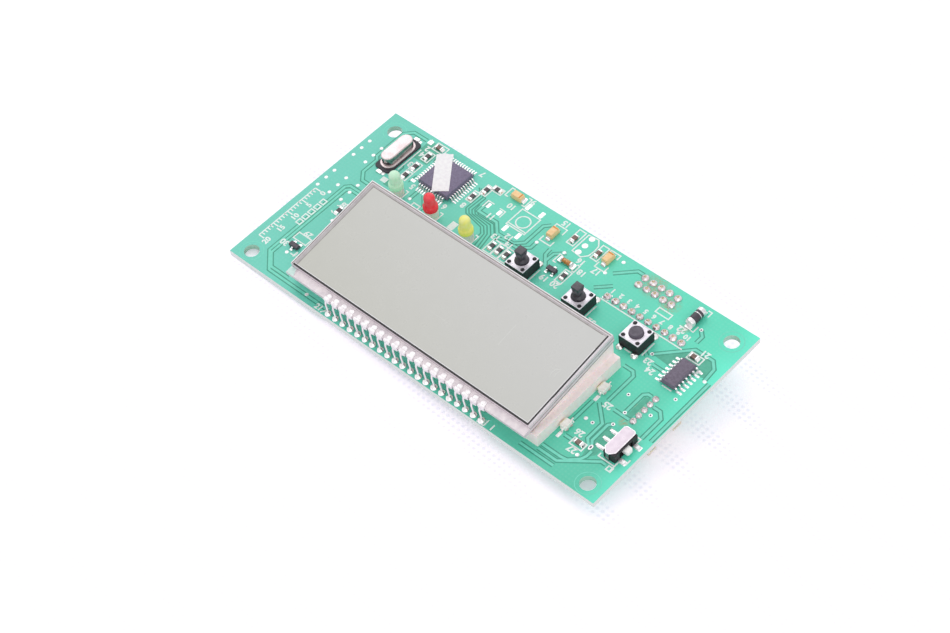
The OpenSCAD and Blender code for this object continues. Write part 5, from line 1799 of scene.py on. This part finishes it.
@dataclass
class Crystal:
    """A quartz crystal in a low drawn can with a welded flange, on a black seat."""

    at: Pair = (-48.8, 19.4)
    length: float = 10.2
    width: float = 3.6
    height: float = 3.5
    seat: float = 0.5
    flange: float = 0.5

    def stadium(self, length: float, width: float, steps: int = 12) -> list[Pair]:
        """The outline of a slot with round ends, its length along Y.

        Args:
            length: From end to end.
            width: Across it.
            steps: How many steps each end has.

        Returns:
            The outline's points.
        """
        r, half = width / 2, (length - width) / 2
        turns = [math.pi * i / steps for i in range(steps + 1)]
        ends = [(r * math.cos(a), half + r * math.sin(a)) for a in turns]
        return ends + [(-r * math.cos(a), -half - r * math.sin(a)) for a in turns]

    def build(self) -> None:
        """Builds the can and the soldered feet, and dresses the rest."""
        around = self.stadium(self.length + 2 * self.flange, self.width + 2 * self.flange)
        flange = Blank.plate(around, 0.38, self.seat).eased(0.1)
        can = Blank.plate(
            self.stadium(self.length, self.width), self.height - self.seat - 0.3, self.seat + 0.3
        )
        rim = self.height - 0.02
        can.pick(Element.EDGE, lambda m, d: m.z > rim and abs(d.z) < 0.1).bevel(0.26, 4).done()
        can.pick(Element.FACE, lambda m, n: n.z > 0.99 and m.z > rim).inset(0.3, -0.02).done()
        # The wall mirrors the board, and the top does not
        around = self.stadium(self.length + 0.03, self.width + 0.03)
        sleeve = Blank.plate(around, self.height - self.seat - 0.75, self.seat + 0.4)
        sleeve.moved(spot(*self.at)).settle("can_wall", SHELL_END)
        joined([flange, can]).moved(spot(*self.at)).settle("drawn_can", CAN_STEEL, ["crystal_can"])
        low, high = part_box("crystal_base")
        base = Blank.block(
            [(b - a) / MM - 0.02 for a, b in zip(low, high)],
            (self.at[0], self.at[1], low[2] / MM - BOARD_T + 0.01),
        )
        base.pick(Element.EDGE, upright).bevel(1.1, 5).done()
        base.eased(0.1).settle("crystal_seat", CRYSTAL_BASE, ["crystal_base"])
        dress("crystal_blank", QUARTZ)
        dress("crystal_leads", PIN)
        x, y = self.at
        reach = self.length / 2 + self.flange + 1.45
        feet = mound((1.7, 1.1, 0.42), 0.18, 3, 0.05, 0.7).repeated(
            [spot(x, y + s * reach, turn=4 * s) for s in (-1, 1)]
        )
        feet.settle("crystal_solder", SOLDER)


@dataclass
class Chips:
    """The square controller under its paper label, the small two-row chip and the transistors."""

    side: float = 10.0
    top: float = 1.9
    label: Pair = (13.1, 4.4)
    label_t: float = 0.09
    label_turn: float = -52.0
    # Each transistor's place, and the side on which two of its three legs stand
    transistors: tuple[Triple, ...] = ((7.9, 15.0, -1), (-47.8, -19.0, 1))

    def moulded(self, side: float, low: float, high: float, draft: float = 0.04) -> Blank:
        """A square moulded body: its sides lean in from the parting line to both faces.

        Args:
            side: How long its sides are.
            low: Its underside's height.
            high: Its top's height.
            draft: The share by which each face is smaller.

        Returns:
            The body.
        """
        body = Blank.block((side, side, high - low), (0, 0, low))
        body.pick(Element.EDGE, upright).cut(1)
        middle = (low + high) / 2
        for up in (1, -1):
            end = high if up > 0 else low
            body.pick(Element.FACE, lambda m, n, e=end: abs(m.z - e) < 0.01 and abs(n.z) > 0.9)
            body.resize((1 - draft, 1 - draft, 1), (0, 0, middle))
        return body.done().eased(0.07)

    def build(self) -> None:
        """Builds the bodies and the label, and dresses the leads."""
        body = self.moulded(self.side, 0.1, self.top)
        pit = Blank.turned([(0.0, 0.0), (0.5, 0.0), (0.5, 0.012), (0.42, 0.02), (0.0, 0.005)], 20)
        body = joined([body, pit.moved(spot(4.0, 4.0, self.top))]).moved(spot(*CONTROLLER_AT))
        body.settle("controller_case", EPOXY, ["controller_body"])
        dress("controller_leads", PIN, 0.03)
        self.toes()
        self.paper()
        dress("small_chip_body", DARK_EPOXY_AND_BORE_SHADE, 0.06)
        dress("small_chip_leads", PIN, 0.04)
        dress("transistor_bodies", BLACK_EPOXY, 0.05)
        dress("transistor_leads", PIN, 0.04)
        places = []
        for x, y, side in self.transistors:
            places += [spot(x + s * 0.97, y + side * 1.15, turn=90) for s in (-1, 1)]
            places.append(spot(x, y - side * 1.15, turn=90))
        mound((0.8, 0.85, 0.26), 0.11, 2, 0.03, 0.5).repeated(places).settle("transistor_solder", SOLDER)

    def toes(self) -> None:
        """Builds the solder at the toe of every lead of the two larger chips."""
        toe = Blank.block((0.75, 0.42, 0.22)).pick(Element.FACE, lambda m, n: n.x > 0.9)
        toe = toe.resize((1, 0.8, 0.25), (0.37, 0, 0)).done().eased(0.06)
        places = []
        for turn in (0, 90, 180, 270):
            middle = spot(*CONTROLLER_AT, turn=turn)
            places += [middle @ spot(6.55, y) for y in evenly(0.0, CONTROLLER_PITCH, 11)]
        for turn in (0, 180):
            middle = spot(*SMALL_CHIP_AT, turn=turn)
            places += [
                middle @ spot(3.2, y, size=(0.95, 1.05, 0.8)) for y in evenly(0.0, SMALL_CHIP_PITCH, 7)
            ]
        toe.repeated(places).settle("lead_toe_solder", SOLDER)

    def paper(self) -> None:
        """Lays the blank label slantwise over the controller, its ends drooping a little past the edges."""
        sheet = Blank.block((*self.label, self.label_t))
        sheet.pick(Element.EDGE, along_x).cut(23)
        sheet.pick(Element.EDGE, along_y).cut(7).done()
        place = spot(-1.6, 0.6) @ about_z(self.label_turn)
        for vertex in sheet.obj.data.vertices:
            spread = place @ vertex.co / MM
            past = max(0.0, max(abs(spread.x), abs(spread.y)) - (self.side / 2 - 0.1))
            ripple = 0.03 * noise.noise(spread * 0.9)
            vertex.co.z += (self.top + 0.01 + max(ripple, 0.0) - min(0.22 * past * past, 0.5)) * MM
        sheet.moved(spot(*CONTROLLER_AT) @ place).settle("paper_label", PAPER, ["controller_label"])


@dataclass
class SmallParts:
    """Tantalum capacitors, diodes, chip resistors and chip capacitors."""

    # Each kind's places: x, y and the turn in degrees
    tantalums: tuple[Triple, ...] = ((-14.5, 27.5, 0.0), (0.35, 23.9, 90.0), (16.5, 26.1, 90.0))
    resistors: tuple[Triple, ...] = (
        (-42.4, 23.8, 90), (-42.6, 19.3, 90), (-42.6, 15.6, 90), (-24.0, 20.8, 90), (-20.4, 26.4, 0),
        (-22.6, 24.6, 90), (-9.0, 11.8, 90), (-6.6, 11.8, 90), (-4.2, 11.8, 90), (11.3, 15.5, 90),
        (-47.5, -3.6, 90),
    )
    capacitors: tuple[Triple, ...] = (
        (-42.0, 27.7, 0), (5.5, 26.1, 90), (13.3, 26.0, 90), (46.7, -19.6, 0), (51.6, 15.8, 0),
    )
    # The middles of the black tube diode and of the glass bead diode
    tube: Triple = (44.9, 24.8, 1.25)
    bead: Triple = (9.3, 19.0, 0.75)

    def build(self) -> None:
        """Builds each kind."""
        self.tantalum_cases()
        self.diodes()
        dress("chip_resistors", RESISTOR, 0.04)
        dress("chip_capacitors", CAPACITOR, 0.06)
        dress("chip_ends", PIN, 0.06)
        wedge = Blank.block((0.95, 1.45, 0.55)).pick(Element.FACE, top_face)
        wedge = wedge.resize((0.55, 0.8, 1), (-0.35, 0, 0.55)).done().eased(0.16, 3).lumpy(0.06, 0.6)
        wedge.repeated(self.ends(self.resistors + self.capacitors, 1.12)).settle("chip_fillets", SOLDER)

    def ends(self, places: Iterable[Triple], reach: float) -> list[Matrix]:
        """Gives the two ends of each part, this far from its middle, each turned outwards."""
        return [spot(x, y, turn=turn + half) @ spot(reach, 0) for x, y, turn in places for half in (0, 180)]

    def tantalum_cases(self) -> None:
        """Builds the moulded cases with their polarity bands."""
        case = Blank.block((3.2, 1.9, 1.6), (0, 0, 0.1))
        case.pick(Element.EDGE, upright).cut(1)
        case = case.pick(Element.FACE, top_face).resize((0.92, 0.9, 1), (0, 0, 1.7)).done().eased(0.1)
        band = Blank.block((0.42, 1.62, 0.02), (1.08, 0, 1.69)).eased(0.005)
        places = [spot(x, y, turn=turn) for x, y, turn in self.tantalums]
        case.repeated(places).settle("tantalum_cases", TANTALUM, ["tantalum_bodies"])
        band.repeated(places).settle("tantalum_bands", BAND)
        dress("tantalum_terminals", PIN)
        wedge = Blank.block((0.9, 1.5, 0.5)).pick(Element.FACE, top_face)
        wedge = wedge.resize((0.5, 0.85, 1), (-0.3, 0, 0.5)).done().eased(0.15, 3).lumpy(0.05, 0.6)
        wedge.repeated(self.ends(self.tantalums, 2.0)).settle("tantalum_solder", SOLDER)

    def diodes(self) -> None:
        """Turns the black tube diode and the glass bead diode with their metal caps."""
        self.tube_diode(spot(*self.tube) @ Matrix.Rotation(-math.pi / 2, 4, "X"))
        self.glass_diode(spot(*self.bead) @ Matrix.Rotation(math.pi / 2, 4, "Y"))
        places = [spot(self.bead[0] + s * 1.95, self.bead[1]) for s in (-1, 1)]
        places += [spot(self.tube[0], self.tube[1] + s * 2.75, turn=90) for s in (-1, 1)]
        mound((1.3, 1.9, 0.55), 0.2, 3, 0.06, 0.7).repeated(places).settle("diode_solder", SOLDER)

    def tube_diode(self, where: Matrix) -> None:
        """Turns the black tube with its band and its two caps.

        Args:
            where: Its place and turn.
        """
        tube = Blank.turned([(0.0, -2.1), (1.15, -2.1), (1.2, -2.0), (1.2, 2.0), (1.15, 2.1), (0.0, 2.1)], 32)
        cap = Blank.turned([(0.0, 1.5), (1.2, 1.5), (1.27, 1.56), (1.27, 2.45), (1.1, 2.62), (0.0, 2.64)], 32)
        caps = cap.repeated([where, where @ Matrix.Rotation(math.pi, 4, "X")])
        tube.moved(where).settle("diode_tube", DIODE, ["tube_diode_body"])
        caps.settle("diode_caps", PIN, ["tube_diode_caps"])
        ring = Blank.turned([(1.15, 0.5), (1.215, 0.52), (1.215, 0.75), (1.15, 0.77)], 32)
        ring.moved(where).settle("diode_band", PIN)

    def glass_diode(self, where: Matrix) -> None:
        """Turns the orange bead with its two caps.

        Args:
            where: Its place and turn.
        """
        profile = [(0.0, -1.3), (0.5, -1.3), (0.64, -1.1), (0.66, 0.0), (0.64, 1.1), (0.5, 1.3), (0.0, 1.3)]
        Blank.turned(profile, 24).moved(where).settle("diode_bead", BEAD, ["glass_diode_bead"])
        end = Blank.turned(
            [(0.0, 1.22), (0.62, 1.22), (0.74, 1.3), (0.75, 1.62), (0.6, 1.74), (0.0, 1.74)], 24
        )
        caps = end.repeated([where, where @ Matrix.Rotation(math.pi, 4, "X")])
        caps.settle("bead_caps", PIN, ["glass_diode_caps"])


@dataclass
class Connectors:
    """The two pin headers and the side-entry connector under the board."""

    base_h: float = 2.54
    tail: float = 6.0
    pin_w: float = 0.64
    # How far a pin stands above the board
    stub: float = 1.0

    def header(
        self, columns: int, rows: int, at: Pair, names: tuple[str, str], nodes: tuple[str, str]
    ) -> None:
        """Builds a header: a moulded strip notched between its ways, and square pins with pointed tips.

        Args:
            columns: Pins along X.
            rows: Pins along Y.
            at: The header's centre.
            names: The names of the strip and of its pins.
            nodes: The CAD nodes that they stand for.
        """
        cell = Blank.block((PITCH, rows * PITCH - 0.04, self.base_h), (0, 0, -self.base_h))
        cell.pick(Element.EDGE, upright).bevel(0.45, 1).done()
        xs, ys = evenly(at[0], PITCH, columns), evenly(at[1], PITCH, rows)
        strip = cell.eased(0.08, 1, 60).repeated([spot(x, at[1], -BOARD_T) for x in xs])
        strip.settle(names[0], HEADER, [nodes[0]])
        low = -self.base_h - self.tail - BOARD_T
        pin = Blank.block((self.pin_w, self.pin_w, self.stub - low), (0, 0, low))
        pin.pick(Element.FACE, lambda m, n: abs(n.z) > 0.9).inset(0.1).done()
        # Both tips narrow to a blunt point
        for end, by in ((self.stub, 0.55), (low, 0.45)):
            pin.pick(
                Element.FACE, lambda m, n, e=end: abs(n.z) > 0.9 and (m - Vector((0, 0, e))).length < 0.05
            )
            pin.resize((by, by, 1), (0, 0, end)).done()
        pin = pin.eased(0.09, 1, 60)
        pin.repeated([spot(x, y) for x in xs for y in ys]).settle(names[1], GOLD, [nodes[1]])

    def build(self) -> None:
        """Builds both headers and dresses the side connector."""
        self.header(10, 1, ROW_AT, ("row_strip", "row_pins"), ("row_header_base", "row_header_pins"))
        self.header(5, 2, PAIR_AT, ("pair_strip", "pair_pins"), ("pair_header_base", "pair_header_pins"))
        dress("side_connector_housing", NYLON, 0.12)
        dress("side_connector_pins", PIN, 0.04)
        rib = Blank.block((3.6, 0.5, 0.16), (56.0, 0, -BOARD_T - 4.8)).eased(0.05)
        rib.repeated([spot(0, y) for y in (-8.4, 2.2)]).settle("connector_ribs", NYLON)


@dataclass
class Studio:
    """The floor that the board leans on, the lights and the camera."""

    # The camera's turn, rise and roll in degrees, and where it sees the board's centre: right, down and ahead
    turn: float = 49.414
    rise: float = 50.775
    roll: float = -8.5005
    lens: float = 81.06
    shift: Triple = (2.8243, -5.7170, 518.2927)
    # The plane through the near left corner, the contacts' stubs and the header's tips: z = a x + b y + c
    floor: Triple = (-0.0237, -0.1398, -5.56)
    # The floor's own glow where it is seen, and the sky's strength where it only gives light
    glow: float = 0.34
    sky: float = 0.74
    # Each lamp's name, place in metres, width in metres and power in watts
    lamps: tuple[tuple[str, Triple, float, float], ...] = (
        ("key_light", (-0.42, 0.30, 0.62), 0.55, 1.2),
        ("fill_light", (0.6, -0.5, 0.42), 0.8, 1.5),
    )
    # The floor's dots stand this far apart
    dots: float = 1.6

    def build(self) -> None:
        """Builds all of it."""
        bpy.context.scene.view_settings.view_transform = "Standard"
        self.ground()
        self.lights()
        self.camera()

    def ground(self) -> None:
        """Lays the white floor, which keeps the shadows; its fine dots show only there."""
        a, b, c = self.floor
        up = Vector((-a, -b, 1.0)).normalized()
        fresh()
        bpy.ops.mesh.primitive_plane_add(size=4.0, location=(0, 0, 0))
        floor = bpy.context.object
        floor.name = "floor"
        floor.data.transform(spot(0, 0, c) @ up.to_track_quat("Z", "X").to_matrix().to_4x4())
        made = bpy.data.materials.new("white studio floor")
        made.use_nodes = True
        tree = made.node_tree
        tree.nodes.clear()
        place = add(tree, "TexCoord", {}, "Object")
        settings = {"Vector": place, "Scale": 1 / (self.dots * MM), "Randomness": 0.0}
        dots = add(tree, "TexVoronoi", settings, "Distance")
        dots = add(tree, "MapRange", {0: dots, 1: 0.34, 2: 0.26})
        tone = add(tree, "Mix", {0: dots, 6: "#F8EEFB", 7: "#E0DBEE"}, 2, **RGBA)
        strength = add(tree, "Math", {0: self.seen(tree), 1: self.glow}, **TIMES)
        glow = add(tree, "Emission", {"Color": "#FFFFFF", "Strength": strength})
        lit = add(tree, "AddShader", {0: add(tree, "BsdfDiffuse", {"Color": tone}), 1: glow})
        # From below the floor is clear, so that the board's underside shows
        back = add(tree, "NewGeometry", {}, "Backfacing")
        both = add(tree, "MixShader", {0: back, 1: lit, 2: add(tree, "BsdfTransparent", {})})
        add(tree, "OutputMaterial", {"Surface": both})
        floor.data.materials.append(made)

    def seen(self, tree: Tree) -> Socket:
        """Gives 1 where a surface is seen, straight or by glass or metal, and 0 where it only gives light.

        Args:
            tree: The node tree.

        Returns:
            The output that gives it.
        """
        rays = ("Is Glossy Ray", "Is Transmission Ray", "Is Camera Ray")
        glossy, through, straight = (add(tree, "LightPath", {}, ray) for ray in rays)
        indirect = add(tree, "Math", {0: glossy, 1: through}, operation="MAXIMUM")
        return add(tree, "Math", {0: straight, 1: indirect}, operation="MAXIMUM")

    def lights(self) -> None:
        """Hangs one large soft lamp behind the board and a weak one in front, under an even sky."""
        for name, place, size, power in self.lamps:
            data = bpy.data.lights.new(name, "AREA")
            data.size, data.energy, data.color = size, power, (1.0, 1.0, 1.0)
            lamp = bpy.data.objects.new(name, data)
            lamp.location = place
            lamp.rotation_euler = (-Vector(place)).to_track_quat("-Z", "Y").to_euler()
            bpy.context.scene.collection.objects.link(lamp)
        world = bpy.data.worlds.new("sky")
        world.use_nodes = True
        tree = world.node_tree
        tree.nodes.clear()
        strength = add(tree, "MapRange", {0: self.seen(tree), 3: self.sky, 4: 1.0})
        sky = add(tree, "Background", {"Color": "#FFFFFF", "Strength": strength})
        add(tree, "OutputWorld", {"Surface": sky})
        bpy.context.scene.world = world

    def camera(self) -> None:
        """Sets the camera by its turn, rise and roll and by where it sees the board's centre."""
        a, e, r = (math.radians(v) for v in (self.turn, self.rise, self.roll))
        ahead = Vector((-math.sin(a) * math.cos(e), math.cos(a) * math.cos(e), -math.sin(e)))
        right = Vector((math.cos(a), math.sin(a), 0.0))
        up = right.cross(ahead)
        side = right * math.cos(r) + up * math.sin(r)
        top = -right * math.sin(r) + up * math.cos(r)
        tx, ty, tz = self.shift
        eye = (-tx * side + ty * top - tz * ahead + Vector((0, BOARD_SHIFT, BOARD_T))) * MM
        data = bpy.data.cameras.new("camera")
        data.lens, data.sensor_width, data.clip_start, data.clip_end = self.lens, 36.0, 0.01, 20.0
        camera = bpy.data.objects.new("camera", data)
        camera.matrix_world = Matrix.Translation(eye) @ Matrix((side, top, -ahead)).transposed().to_4x4()
        bpy.context.scene.collection.objects.link(camera)
        bpy.context.scene.camera = camera


def main() -> None:
    """Builds the camera and the floor, then every sub-assembly."""
    logging.basicConfig(level=logging.INFO, format="%(message)s", stream=sys.stdout)
    Studio().build()
    for part in (
        BoardDetail(), Underside(), SolderJoints(), Display(), Backlight(), Lamps(), PushButtons(),
        SlideSwitch(), Crystal(), Chips(), SmallParts(), Connectors(),
    ):
        part.build()


if __name__ == "__main__":
    main()
